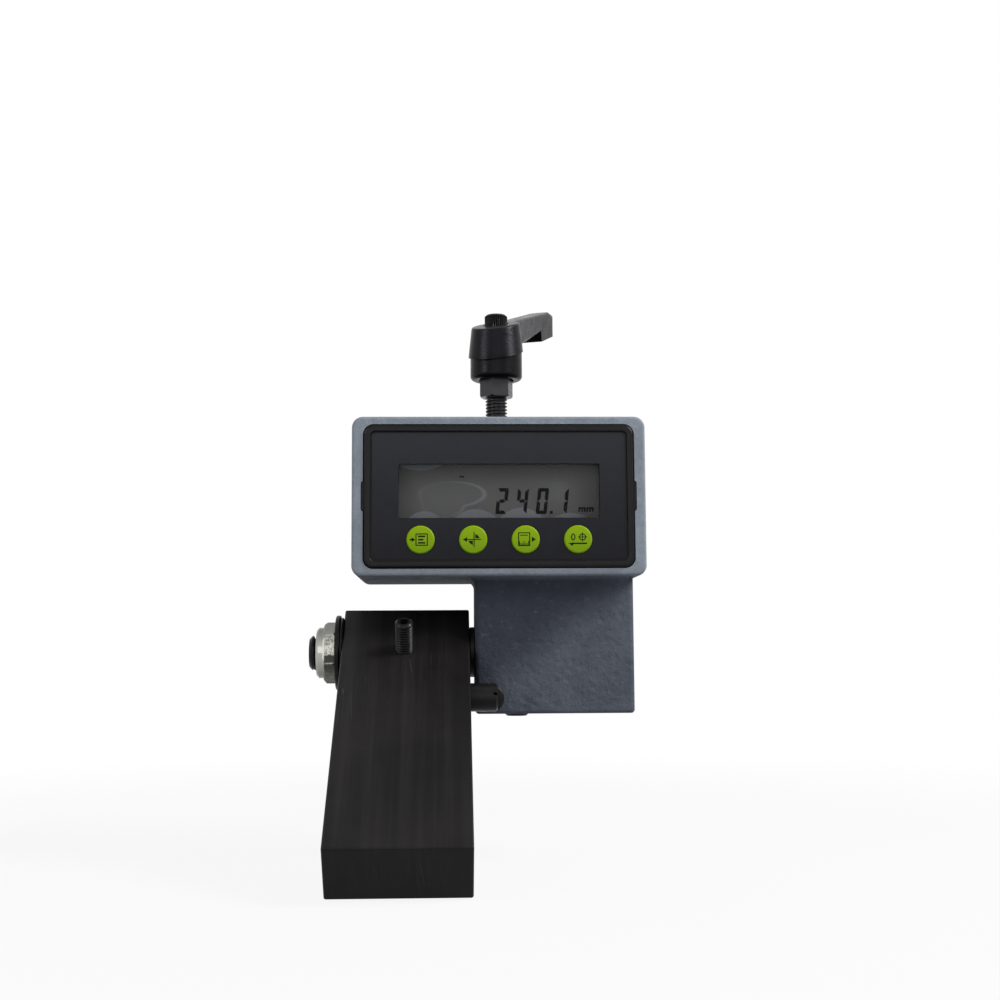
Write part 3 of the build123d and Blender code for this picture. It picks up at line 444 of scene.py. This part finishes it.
def arm_steel():
    """Blackened flat bar: streaks along its length, faint scratches, worn patches."""
    tones = (0.0030, 0.0027, 0.0028), (0.0100, 0.0086, 0.0086)
    streak_tone = (0.0200, 0.0176, 0.0176)
    scratch_tone = (0.07, 0.065, 0.065)
    s = Shader("arm_steel", (0.008, 0.007, 0.007), 0.46, specular=0.12)
    streak = s.noise(1.0, 5, 0.62, s.turned(300, 6, 60, ARM_SLOPE))
    cloud = s.noise(26, 4, 0.6)
    base = s.mixed(s.remap(cloud, 0.32, 0.70), *tones)
    base = s.mixed(s.remap(streak, 0.46, 0.78, 0.0, 0.6), base, streak_tone)
    edges = s.cells(1.0, s.turned(420, 9, 30, ARM_SLOPE), "DISTANCE_TO_EDGE")
    thin = s.remap(edges, 0.0, 0.012, 1.0, 0.0)
    rare = s.remap(s.noise(34, 1), 0.60, 0.68)
    s.colour(s.mixed(s.times(s.times(thin, rare), 0.5), base, scratch_tone))
    both = s.plus(s.times(streak, 0.6), s.times(cloud, 0.4))
    s.rough(s.remap(both, 0.35, 0.65, 0.36, 0.56))
    s.bump(s.plus(streak, s.times(s.noise(420, 4, 0.6), 0.6)), 0.40, 0.00007)
    return s.material


def steel(name, tone, roughness, stretch=(1, 1, 30), metallic=1.0):
    """Bright or plain steel with fine turning marks."""
    s = Shader(name, tone, roughness, metallic)
    dark = tuple(c * 0.78 for c in tone)
    s.colour(s.mixed(s.remap(s.noise(180, 3), 0.3, 0.7), dark, tone))
    lines = s.noise(50, 3, 0.5, s.stretched(*stretch))
    s.rough(s.remap(lines, 0.3, 0.7, roughness - 0.08, roughness + 0.10))
    s.bump(lines, 0.2, 0.00003)
    return s.material


# Painted dark reflection and shade on the pivot nut, in metres. A band of painted reflection lies
# BAND_DROP below the nut's middle, full out to BAND_FULL from its own middle and gone at BAND_END.
# Below it is painted shade, at heights from the nut's middle: it grows from RUN_NONE up to
# RUN_FULL, and ends from RUN_TOP_FULL to RUN_TOP
BAND_DROP = 0.0022
BAND_FULL, BAND_END = 0.0010, 0.0016
RUN_NONE, RUN_FULL = -0.0098, -0.0048
RUN_TOP, RUN_TOP_FULL = -0.0036, -0.0040
NUT_RAGGED = 0.0005
COLLAR_SOFT = 0.0002


def zinc():
    """Galvanised steel, speckled: the collar painted brighter as a highlight, the flats with
    painted shade and reflection.
    """
    collar_highlight_tones = (0.34, 0.34, 0.31), (0.46, 0.46, 0.43)
    flat_tones = (0.20, 0.20, 0.18), (0.35, 0.35, 0.32)
    fleck_tone = (0.070, 0.068, 0.058)
    side_tone = (0.060, 0.060, 0.054)
    reflection_and_shade_tone = (0.012, 0.011, 0.009)
    s = Shader("zinc_steel", (0.30, 0.30, 0.27), 0.20, metallic=0.95)
    ragged = s.remap(s.noise(260, 3), 0.3, 0.7, -NUT_RAGGED, NUT_RAGGED)
    up = s.plus(s.minus(s.part("Z"), nut_z), ragged)
    flats = s.remap(s.part("X"), nut_flats_x - COLLAR_SOFT, nut_flats_x + COLLAR_SOFT)
    coat = s.mixed(s.remap(s.noise(420, 4, 0.7), 0.34, 0.64), *flat_tones)
    coat = s.mixed(s.remap(s.noise(1900, 2, 0.6), 0.51, 0.62, 0.0, 0.85), coat, fleck_tone)
    # The collar is painted brighter as a highlight
    coat = s.mixed(flats, s.mixed(s.noise(300, 3), *collar_highlight_tones), coat)
    # Flats and collar are painted darker away from the nut's middle height, as shade
    coat = s.mixed(s.fade(s.size(up), 0.0015, 0.0090, 0.0, 0.72), coat, side_tone)
    # A painted dark reflection as a band, and painted shade below it, on the flats
    reflection_band = s.fade(s.size(s.plus(up, BAND_DROP)), BAND_FULL, BAND_END, 0.94, 0.0)
    lower_shade = s.times(s.fade(up, RUN_NONE, RUN_FULL, 0.0, 0.85), s.remap(up, RUN_TOP, RUN_TOP_FULL))
    s.colour(s.mixed(s.times(s.larger(reflection_band, lower_shade), flats), coat, reflection_and_shade_tone))
    s.rough(s.remap(s.noise(600, 3), 0.3, 0.7, 0.12, 0.28))
    s.bump(s.noise(800, 4, 0.6), 0.45, 0.00005)
    return s.material


def plain(name, low, high, roughness, scale=200):
    """Moulded plastic, rubber or board with a fine mottle and grain."""
    s = Shader(name, low, roughness, specular=0.35)
    s.colour(s.mixed(s.noise(scale, 3), low, high))
    s.rough(s.remap(s.noise(900, 2), 0.3, 0.7, roughness - 0.06, roughness + 0.08))
    s.bump(s.noise(1800, 2), 0.2, 0.00003)
    return s.material


MATERIALS = {
    "casting_paint": casting_paint(),
    "module_plastic": module_plastic(),
    "foil_print": foil_print(),
    "clear_window": clear_window(),
    "lcd_glass": lcd_glass(),
    "key_green": key_green(),
    "white_plastic": plain("white_plastic", (0.66, 0.65, 0.61), (0.74, 0.73, 0.70), 0.45),
    "strip_rubber": plain("strip_rubber", (0.05, 0.05, 0.05), (0.09, 0.09, 0.09), 0.7, 900),
    "board_green": plain("board_green", (0.010, 0.13, 0.055), (0.018, 0.19, 0.08), 0.35, 60),
    "potted_plastic": plain("potted_plastic", (0.02, 0.02, 0.021), (0.035, 0.035, 0.037), 0.5),
    "plain_steel": steel("plain_steel", (0.034, 0.034, 0.037), 0.32, metallic=0.6),
    "bright_steel": steel("bright_steel", (0.62, 0.62, 0.61), 0.26),
    "black_steel": black_oxide(),
    "arm_steel": arm_steel(),
    "zinc_steel": zinc(),
    "nut_nylon": plain("nut_nylon", (0.46, 0.48, 0.50), (0.56, 0.58, 0.60), 0.4),
    "pad_brass": steel("pad_brass", (0.62, 0.47, 0.22), 0.34, (1, 30, 1)),
    "lever_black": powder_black(),
}

node_slots = {row["node"]: row["material_slot"] for row in frame["record"]["subparts"]}
for node, thing in nodes.items():
    thing.data.materials.clear()
    thing.data.materials.append(MATERIALS[node_slots[node]])


# Helpers for pieces

def middle(node):
    """Middle of a node's box."""
    low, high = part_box(node)
    return (low + high) / 2


def new_piece(name, bm, body, material, smooth=False):
    """A mesh object made from a bmesh, riding on a body."""
    mesh = bpy.data.meshes.new(name)
    bmesh.ops.recalc_face_normals(bm, faces=bm.faces[:])
    bm.to_mesh(mesh)
    bm.free()
    for polygon in mesh.polygons:
        polygon.use_smooth = smooth
    mesh.materials.append(material)
    thing = bpy.data.objects.new(name, mesh)
    bpy.context.scene.collection.objects.link(thing)
    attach(thing, body)
    return thing


def arc(cx, cz, radius, start, end, count):
    """Points on an arc, its angles in degrees from +X towards +Z."""
    angles = [math.radians(start + (end - start) * i / count) for i in range(count + 1)]
    return [(cx + radius * math.cos(a), cz + radius * math.sin(a)) for a in angles]


def oval(cx, cz, half_x, half_z, count):
    """Points round an oval."""
    angles = [math.tau * i / count for i in range(count)]
    return [(cx + half_x * math.cos(a), cz + half_z * math.sin(a)) for a in angles]


# Print stands this far in front of its surface and is this thick, in metres. An arrow's head
# has this share of its length on each side of its tip
PRINT_PROUD = 0.00001
PRINT_THICKNESS = 0.00002
ARROW_HALF = 0.62


class Print:
    """Thin plates that face -Y, in one mesh. Points are (x, z) in millimetres."""

    def __init__(self, surface_y, centre_x=0.0, centre_z=0.0):
        self.bm = bmesh.new()
        self.y = surface_y - PRINT_PROUD
        self.centre_x = centre_x
        self.centre_z = centre_z

    def shape(self, outline, *holes):
        """A plate with this outline and these holes."""
        edges = []
        for loop in (outline, *holes):
            ring = [self.bm.verts.new(((self.centre_x + x) * MM, self.y, (self.centre_z + z) * MM))
                    for x, z in loop]
            for i, point in enumerate(ring):
                edges.append(self.bm.edges.new((point, ring[(i + 1) % len(ring)])))
        made = bmesh.ops.triangle_fill(self.bm, use_beauty=True, use_dissolve=False, edges=edges)
        faces = [g for g in made["geom"] if isinstance(g, bmesh.types.BMFace)]
        grown = bmesh.ops.extrude_face_region(self.bm, geom=faces)
        moved = [g for g in grown["geom"] if isinstance(g, bmesh.types.BMVert)]
        bmesh.ops.translate(self.bm, verts=moved, vec=(0, PRINT_THICKNESS, 0))

    def stroke(self, x0, z0, x1, z1, width):
        """A straight stroke between two points."""
        length = math.hypot(x1 - x0, z1 - z0)
        nx = -(z1 - z0) / length * width / 2
        nz = (x1 - x0) / length * width / 2
        self.shape([(x0 + nx, z0 + nz), (x1 + nx, z1 + nz), (x1 - nx, z1 - nz), (x0 - nx, z0 - nz)])

    def arrow(self, tip_x, tip_z, size, direction=1):
        """An arrow's head that points to +X, or to -X where direction is -1."""
        back_x = tip_x - direction * size
        half = size * ARROW_HALF
        self.shape([(tip_x, tip_z), (back_x, tip_z + half), (back_x, tip_z - half)])

    def frame(self, left, low, right, high, width):
        """A rectangular frame of one line."""
        outer = [(left, low), (right, low), (right, high), (left, high)]
        inner = [(left + width, low + width), (right - width, low + width),
                 (right - width, high - width), (left + width, high - width)]
        self.shape(outer, inner)


# Display: digits and unit, in millimetres from the part's origin. READING holds each figure
# with its left edge

DIGIT_WIDTH = 3.80
DIGIT_HEIGHT = 9.0
STROKE = 1.22
BREAK = 0.13
MITRE_SHARE = 0.62
SLANT = math.tan(math.radians(6.5))
BASE_Z = -5.45
LIT = {"0": "abcdef", "1": "bc", "2": "abged", "4": "fgbc"}
READING = [("2", -1.30), ("4", 5.68), ("0", 12.62), ("1", 19.55)]
POINT_X, POINT_WIDTH, POINT_HEIGHT = 17.60, 0.95, 1.0
POINT_MIDDLE = BASE_Z + 0.55
UNIT_LETTERS = (27.60, 30.35)
UNIT_LOW, UNIT_HIGH = BASE_Z + 0.75, BASE_Z + 2.15
UNIT_STROKE = 0.56
UNIT_LEG_START, UNIT_LEG_PITCH = 0.15, 0.98
UNIT_LEG_TOP = UNIT_HIGH - 0.10
UNIT_BAR_LEFT, UNIT_BAR_RIGHT, UNIT_BAR_Z = -0.12, 2.38, UNIT_HIGH - 0.12
MARK_LEFTS = (-13.5, -12.65)
MARK_SIDE, MARK_Z = 0.6, 7.55


def digit_segments(width, height, stroke, gap):
    """The seven segments of a digit, as outlines with mitred ends."""
    mid = height / 2
    half = stroke / 2
    mitre = stroke * MITRE_SHARE
    right = width - gap
    inner = width - stroke
    return {
        "a": [(gap, height), (right, height), (right - mitre, height - stroke),
              (gap + mitre, height - stroke)],
        "d": [(gap + mitre, stroke), (right - mitre, stroke), (right, 0), (gap, 0)],
        "g": [(gap + half, mid), (gap + stroke, mid + half), (right - stroke, mid + half),
              (right - half, mid), (right - stroke, mid - half), (gap + stroke, mid - half)],
        "f": [(0, height - gap), (stroke, height - stroke - gap), (stroke, mid + half + gap),
              (half, mid + gap), (0, mid + gap)],
        "e": [(0, mid - gap), (half, mid - gap), (stroke, mid - half - gap), (stroke, stroke + gap),
              (0, gap)],
        "b": [(width, height - gap), (width, mid + gap), (width - half, mid + gap),
              (inner, mid + half + gap), (inner, height - stroke - gap)],
        "c": [(width, mid - gap), (width, gap), (inner, stroke + gap), (inner, mid - half - gap),
              (width - half, mid - gap)],
    }


def display_digits():
    """The reading, its point, the unit and a small mark above."""
    ink = Print(cell_y)
    segments = digit_segments(DIGIT_WIDTH, DIGIT_HEIGHT, STROKE, BREAK)
    for figure, left in READING:
        for key in LIT[figure]:
            ink.shape([(left + x + z * SLANT, BASE_Z + z) for x, z in segments[key]])
    ink.stroke(POINT_X, POINT_MIDDLE, POINT_X + POINT_WIDTH, POINT_MIDDLE, POINT_HEIGHT)
    for left in UNIT_LETTERS:
        for k in range(3):
            leg_x = left + UNIT_LEG_START + k * UNIT_LEG_PITCH
            ink.stroke(leg_x, UNIT_LOW, leg_x, UNIT_LEG_TOP, UNIT_STROKE)
        ink.stroke(left + UNIT_BAR_LEFT, UNIT_BAR_Z, left + UNIT_BAR_RIGHT, UNIT_BAR_Z,
                   UNIT_STROKE)
    for left in MARK_LEFTS:
        ink.stroke(left, MARK_Z, left + MARK_SIDE, MARK_Z, MARK_SIDE)
    new_piece("display_digits", ink.bm, "carriage", lcd_segment())


# Keys: plain signs of the usual kinds, in millimetres from the key's middle

LINE = 0.34
FINE_LINE = 0.28
RING_POINTS = 40
NOUGHT_POINTS = 28


def list_sign(ink):
    """A list in a frame, with an arrow that points into it."""
    ink.frame(-1.7, -2.1, 2.5, 2.1, LINE)
    ink.stroke(-3.7, 0, -2.3, 0, 0.50)
    ink.arrow(-1.75, 0, 1.25)
    for k in range(3):
        row_z = 1.1 - k * 1.1
        ink.stroke(-0.8, row_z, 1.6 - 0.6 * (k % 2), row_z, 0.58)


def turn_sign(ink):
    """Two quarter turns about an upright axis, on a line that ends in an arrow."""
    axis_x = 0.3
    ink.arrow(-3.5, 0, 1.4, -1)
    ink.stroke(-2.3, 0, 2.6, 0, LINE)
    ink.stroke(axis_x, -2.6, axis_x, 2.6, LINE)
    for start, side in ((0, 1), (180, -1)):
        quarter = arc(axis_x, 0, 1.9, start + 12, start + 78, 12)
        ink.shape(quarter + [(axis_x + side * 0.42, side * 0.42)])


def scale_sign(ink):
    """A ruled scale in a frame, with an arrow that points out of it."""
    ink.frame(-2.6, -2.3, 1.5, 2.4, LINE)
    for k in range(7):
        mark_x = -2.15 + k * 0.52
        tall = 1.5 if k % 3 == 0 else 0.8
        ink.stroke(mark_x, -2.2, mark_x, -2.1 + tall, FINE_LINE)
    ink.arrow(3.5, 0, 1.45)
    ink.stroke(-1.9, 1.4, 0.8, 1.4, 0.30)


def zero_sign(ink):
    """A nought beside a target, over an arrow that points back."""
    row_z = 0.75
    target_x, target_radius = 1.5, 1.2
    hole_radius = target_radius - LINE
    ink.shape(oval(target_x, row_z, target_radius, target_radius, RING_POINTS),
              oval(target_x, row_z, hole_radius, hole_radius, RING_POINTS))
    ink.stroke(target_x - 1.55, row_z, target_x + 1.55, row_z, FINE_LINE)
    ink.stroke(target_x, row_z - 1.55, target_x, row_z + 1.55, FINE_LINE)
    ink.shape(oval(-1.7, row_z, 0.78, 1.2, NOUGHT_POINTS),
              oval(-1.7, row_z, 0.38, 0.80, NOUGHT_POINTS))
    ink.stroke(-2.2, -1.45, 3.0, -1.45, 0.52)
    ink.shape([(-3.4, -1.35), (-1.6, -1.25), (-1.9, -2.35)])


def key_signs():
    """One printed sign on each key."""
    material = key_print()
    for i, draw in enumerate((list_sign, turn_sign, scale_sign, zero_sign)):
        low, high = key_boxes[i]
        ink = Print(key_y, (low.x + high.x) / 2 / MM, key_z / MM)
        draw(ink)
        new_piece(f"key_sign_{i + 1}", ink.bm, f"key_{i + 1}", material)


# Pieces that stand for plain screws, in metres: how near a point is to a wall, an end or
# another point to count as on it, and points in a turn
ON_WALL = 0.00002
END_MISS = 1e-5
WELD = 1e-7
AROUND = 40
SHARP_ANGLE = math.radians(32)

# Height of the ridge along one pitch, from root to crest, and the share of a pitch over which
# a thread fades out at its ends
THREAD_PROFILE = (0.0, 0.0, 0.35, 0.8, 1.0, 1.0, 0.8, 0.35)
THREAD_FADE = 0.5

Thread = namedtuple("Thread", "radius pitch depth")
CLAMP_THREAD = Thread(0.004, 0.00125, 0.00072)
ARM_THREAD = Thread(0.003, 0.0010, 0.00058)
PIVOT_THREAD = Thread(0.006, 0.00175, 0.00100)


def add_thread(bm, matrix, thread, low, high):
    """Adds a right-hand thread's flank surface along local Z. It fades out at both ends."""
    rows = len(THREAD_PROFILE)
    total = int((high - low) / thread.pitch * rows) + 2 * rows
    fade = THREAD_FADE * thread.pitch
    grid = []
    for i in range(AROUND):
        angle = math.tau * i / AROUND
        column = []
        for k in range(-rows, total):
            z = low + thread.pitch * (k / rows + i / AROUND)
            depth = thread.depth * (1 - THREAD_PROFILE[k % rows])
            depth *= min(1.0, max(0.0, (z - low) / fade))
            depth *= min(1.0, max(0.0, (high - z) / fade))
            r = thread.radius - depth
            z = min(max(z, low), high)
            place = matrix @ Vector((r * math.cos(angle), r * math.sin(angle), z))
            column.append(bm.verts.new(place))
        grid.append(column)
    count = len(grid[0])
    for i in range(AROUND):
        # The last column meets the first one turn further up
        step = rows if i == AROUND - 1 else 0
        other = grid[(i + 1) % AROUND]
        for k in range(count - 1 - step):
            bm.faces.new((grid[i][k], grid[i][k + 1], other[k + 1 + step], other[k + step]))
    new = [v for column in grid for v in column]
    bmesh.ops.remove_doubles(bm, verts=new, dist=WELD)
    bmesh.ops.dissolve_degenerate(bm, dist=WELD, edges=bm.edges[:])


def without_side(node, matrix, radius, low, high):
    """A bmesh of a CAD node from which a plain cylinder side has been taken."""
    bm = bmesh.new()
    bm.from_mesh(nodes[node].data)
    inverse = matrix.inverted()
    side = []
    for face in bm.faces:
        local = [inverse @ v.co for v in face.verts]
        foot = min(p.z for p in local)
        top = max(p.z for p in local)
        inside = low - END_MISS < foot and top < high + END_MISS
        round_wall = all(abs(math.hypot(p.x, p.y) - radius) < ON_WALL for p in local)
        if inside and round_wall and top - foot > END_MISS:
            side.append(face)
    bmesh.ops.delete(bm, geom=side, context="FACES")
    bmesh.ops.delete(bm, geom=[v for v in bm.verts if not v.link_faces], context="VERTS")
    return bm


def stand_in(node, name, body, bm):
    """Puts a piece in a CAD node's place, in the same finish."""
    slot = node_slots[node]
    piece = new_piece(name, bm, body, MATERIALS[slot], True)
    piece.data.set_sharp_from_angle(angle=SHARP_ANGLE)
    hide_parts(node)
    return piece


def rings_wall(bm, matrix, rings):
    """Adds a wall through rings of points, each ring a list of (radius, angle, height)."""
    rows = [[bm.verts.new(matrix @ Vector((r * math.cos(a), r * math.sin(a), z)))
             for r, a, z in ring] for ring in rings]
    for lower, upper in zip(rows, rows[1:]):
        for k in range(len(lower)):
            n = (k + 1) % len(lower)
            bm.faces.new((lower[k], lower[n], upper[n], upper[k]))


def threaded(node, name, body, matrix, thread, low, high, thread_end):
    """A copy of a CAD node with ridges on its cylinder side, from low up to thread_end."""
    bm = without_side(node, matrix, thread.radius, low, high)
    add_thread(bm, matrix, thread, low, thread_end)
    if thread_end < high:
        turn = [math.tau * k / AROUND for k in range(AROUND)]
        rings_wall(bm, matrix, [[(thread.radius, a, z) for a in turn] for z in (thread_end, high)])
    stand_in(node, name, body, bm)


STUD_TIP = 0.0014
STUD_THREAD_END = 0.0209
SCREW_CHAMFER = 0.0006
ARM_SCREW_LENGTH = 0.0200
PIVOT_THREAD_END = 0.0090
PIVOT_CHAMFER = 0.0010


def screw_threads():
    """Threads of the clamp stud, of the arm's stop screw and of the pivot's outer end."""
    foot = middle("clamp_stud")
    foot.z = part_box("clamp_stud")[0].z + STUD_TIP
    threaded("clamp_stud", "clamp_stud_threaded", "stud", Matrix.Translation(foot),
             CLAMP_THREAD, SCREW_CHAMFER, STUD_THREAD_END, STUD_THREAD_END)
    half = ARM_SCREW_LENGTH / 2 - SCREW_CHAMFER
    across = Matrix.Translation(middle("arm_screw")) @ Matrix.Rotation(ARM_SLOPE, 4, "X")
    threaded("arm_screw", "arm_screw_threaded", "arm", across, ARM_THREAD, -half, half, half)
    pivot_low, pivot_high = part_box("pivot_stud")
    end = middle("pivot_stud")
    end.x = pivot_low.x
    level = Matrix.Translation(end) @ Matrix.Rotation(math.pi / 2, 4, "Y")
    threaded("pivot_stud", "pivot_stud_threaded", "carriage", level, PIVOT_THREAD,
             PIVOT_CHAMFER, pivot_high.x - pivot_low.x - PIVOT_CHAMFER, PIVOT_THREAD_END)


KNURL_COUNT = 32
KNURL_DEPTH = 0.00050
KNURL_SHAPE = (1.0, 0.5, 0.0, 0.5)
KNURL_RUN_OUT = 0.0004
HEAD_RADIUS = 0.0042
HEAD_HEIGHT = 0.0050
HEAD_CHAMFER = 0.0006


def head_knurl():
    """The retaining screw with a straight knurl round its head."""
    spot = middle("clamp_stud")
    spot.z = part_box("retaining_screw")[1].z - HEAD_HEIGHT
    matrix = Matrix.Translation(spot)
    top = HEAD_HEIGHT - HEAD_CHAMFER
    bm = without_side("retaining_screw", matrix, HEAD_RADIUS, 0, top)
    steps = len(KNURL_SHAPE)
    count = KNURL_COUNT * steps
    rings = []
    for z, cut in ((0, 0.0), (KNURL_RUN_OUT, 1.0), (top - KNURL_RUN_OUT, 1.0), (top, 0.0)):
        groove = [KNURL_DEPTH * cut * share for share in KNURL_SHAPE]
        rings.append([(HEAD_RADIUS - groove[k % steps], math.tau * k / count, z)
                      for k in range(count)])
    rings_wall(bm, matrix, rings)
    stand_in("retaining_screw", "retaining_screw_knurled", "stud", bm)


def lever_coil():
    """The lever's spring: a smooth copy of its node, in the same finish, with a mesh of its own."""
    low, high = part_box("lever_spring")
    bm = bmesh.new()
    bm.from_mesh(nodes["lever_spring"].data)
    bmesh.ops.remove_doubles(bm, verts=bm.verts[:], dist=WELD)
    coil = stand_in("lever_spring", "lever_spring_coil", "stud", bm)
    anchor = middle("lever_spring")
    anchor.z = high.z
    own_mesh(coil)


display_digits()
key_signs()
screw_threads()
head_knurl()
lever_coil()


# Studio: lengths in metres, angles in degrees, light in watts

CAMERA_PLACE = (-0.01714, -0.53808, -0.05473)
CAMERA_YAW = 1.9862
CAMERA_PITCH = 6.1128
CAMERA_ROLL = -0.3410
CAMERA_LENS = 53.1
SENSOR_WIDTH = 36.0

# Name, place, width, height and power of each light
LIGHT_AIM = (0, 0, -0.02)
LIGHTS = [
    ("right_light", (0.80, -0.31, 0.66), 0.40, 0.40, 14.0),
    ("left_light", (-0.75, -0.50, 0.42), 0.30, 0.50, 3.2),
    ("front_light", (-0.05, -1.10, 0.22), 0.80, 0.60, 1.5),
]

# The floor under the object, its tone, and how white it looks from NEAR to FAR
FLOOR_DROP = 0.0005
FLOOR_SIDE = 8.0
FLOOR_TONE = 0.50
NEAR, FAR = 0.12, 0.60
NEAR_SHARE = 0.90
SKY_TONE = (0.94, 0.97, 1.0, 1)
SKY_STRENGTH = 0.22


def camera():
    """Camera at the photograph's place, its axes worked out from yaw, pitch and roll."""
    yaw, pitch, roll = (math.radians(a) for a in (CAMERA_YAW, CAMERA_PITCH, CAMERA_ROLL))
    level = Vector((math.sin(yaw), math.cos(yaw), 0))
    forward = level * math.cos(pitch) + Vector((0, 0, math.sin(pitch)))
    right = Vector((math.cos(yaw), -math.sin(yaw), 0))
    up = Vector((0, 0, math.cos(pitch))) - level * math.sin(pitch)
    rolled_right = right * math.cos(roll) + up * math.sin(roll)
    rolled_up = up * math.cos(roll) - right * math.sin(roll)
    lens = bpy.data.cameras.new("camera")
    lens.lens = CAMERA_LENS
    lens.sensor_width = SENSOR_WIDTH
    lens.sensor_fit = "HORIZONTAL"
    lens.clip_start = 0.01
    view = bpy.data.objects.new("camera", lens)
    turn = Matrix((rolled_right, rolled_up, -forward)).transposed().to_4x4()
    view.matrix_world = Matrix.Translation(CAMERA_PLACE) @ turn
    bpy.context.scene.collection.objects.link(view)
    bpy.context.scene.camera = view


def area_light(name, place, width, height, watts):
    """A rectangular light that looks at the object."""
    light = bpy.data.lights.new(name, "AREA")
    light.shape = "RECTANGLE"
    light.size = width
    light.size_y = height
    light.energy = watts
    lamp = bpy.data.objects.new(name, light)
    turn = (Vector(LIGHT_AIM) - Vector(place)).to_track_quat("-Z", "Y").to_matrix().to_4x4()
    lamp.matrix_world = Matrix.Translation(place) @ turn
    bpy.context.scene.collection.objects.link(lamp)


def looking_rays(tree):
    """1 for the rays that show the background: camera, glossy and transmission rays."""
    path = tree.nodes.new("ShaderNodeLightPath")
    total = path.outputs["Is Camera Ray"]
    for name in ("Is Glossy Ray", "Is Transmission Ray"):
        more = tree.nodes.new("ShaderNodeMath")
        more.operation = "MAXIMUM"
        tree.links.new(total, more.inputs[0])
        tree.links.new(path.outputs[name], more.inputs[1])
        total = more.outputs[0]
    return total


def studio_floor():
    """Pale floor that keeps the object's shadow and turns plain white further out."""
    bm = bmesh.new()
    half = FLOOR_SIDE / 2
    floor_z = cad_box[0][2] - FLOOR_DROP
    corners = [bm.verts.new((x, y, floor_z))
               for x, y in ((-half, -half), (half, -half), (half, half), (-half, half))]
    bm.faces.new(corners)
    mesh = bpy.data.meshes.new("floor")
    bm.to_mesh(mesh)
    bm.free()
    floor = bpy.data.objects.new("floor", mesh)
    bpy.context.scene.collection.objects.link(floor)
    s = Shader("floor", (FLOOR_TONE, FLOOR_TONE, FLOOR_TONE), 0.9, specular=0.1)
    white = s.tree.nodes.new("ShaderNodeEmission")
    white.inputs["Strength"].default_value = 1.0
    span = s.tree.nodes.new("ShaderNodeVectorMath")
    span.operation = "LENGTH"
    s.put(span.inputs[0], s.stretched(1, 1, 0))
    share = s.fade(span.outputs["Value"], NEAR, FAR, NEAR_SHARE, 1.0)
    mix = s.tree.nodes.new("ShaderNodeMixShader")
    s.put(mix.inputs["Fac"], s.times(looking_rays(s.tree), share))
    s.put(mix.inputs[1], s.shader.outputs["BSDF"])
    s.put(mix.inputs[2], white.outputs["Emission"])
    s.put(s.tree.nodes["Material Output"].inputs["Surface"], mix.outputs["Shader"])
    mesh.materials.append(s.material)


def world():
    """Soft grey light all round, and a white background for the camera."""
    sky = bpy.data.worlds.new("studio")
    bpy.context.scene.world = sky
    sky.use_nodes = True
    tree = sky.node_tree
    tree.nodes.clear()
    out = tree.nodes.new("ShaderNodeOutputWorld")
    mix = tree.nodes.new("ShaderNodeMixShader")
    soft = tree.nodes.new("ShaderNodeBackground")
    soft.inputs["Color"].default_value = SKY_TONE
    soft.inputs["Strength"].default_value = SKY_STRENGTH
    white = tree.nodes.new("ShaderNodeBackground")
    white.inputs["Color"].default_value = (1, 1, 1, 1)
    white.inputs["Strength"].default_value = 1.0
    tree.links.new(looking_rays(tree), mix.inputs["Fac"])
    tree.links.new(soft.outputs[0], mix.inputs[1])
    tree.links.new(white.outputs[0], mix.inputs[2])
    tree.links.new(mix.outputs[0], out.inputs["Surface"])


camera()
for light_settings in LIGHTS:
    area_light(*light_settings)
studio_floor()
world()
bpy.context.scene.view_settings.view_transform = "Standard"
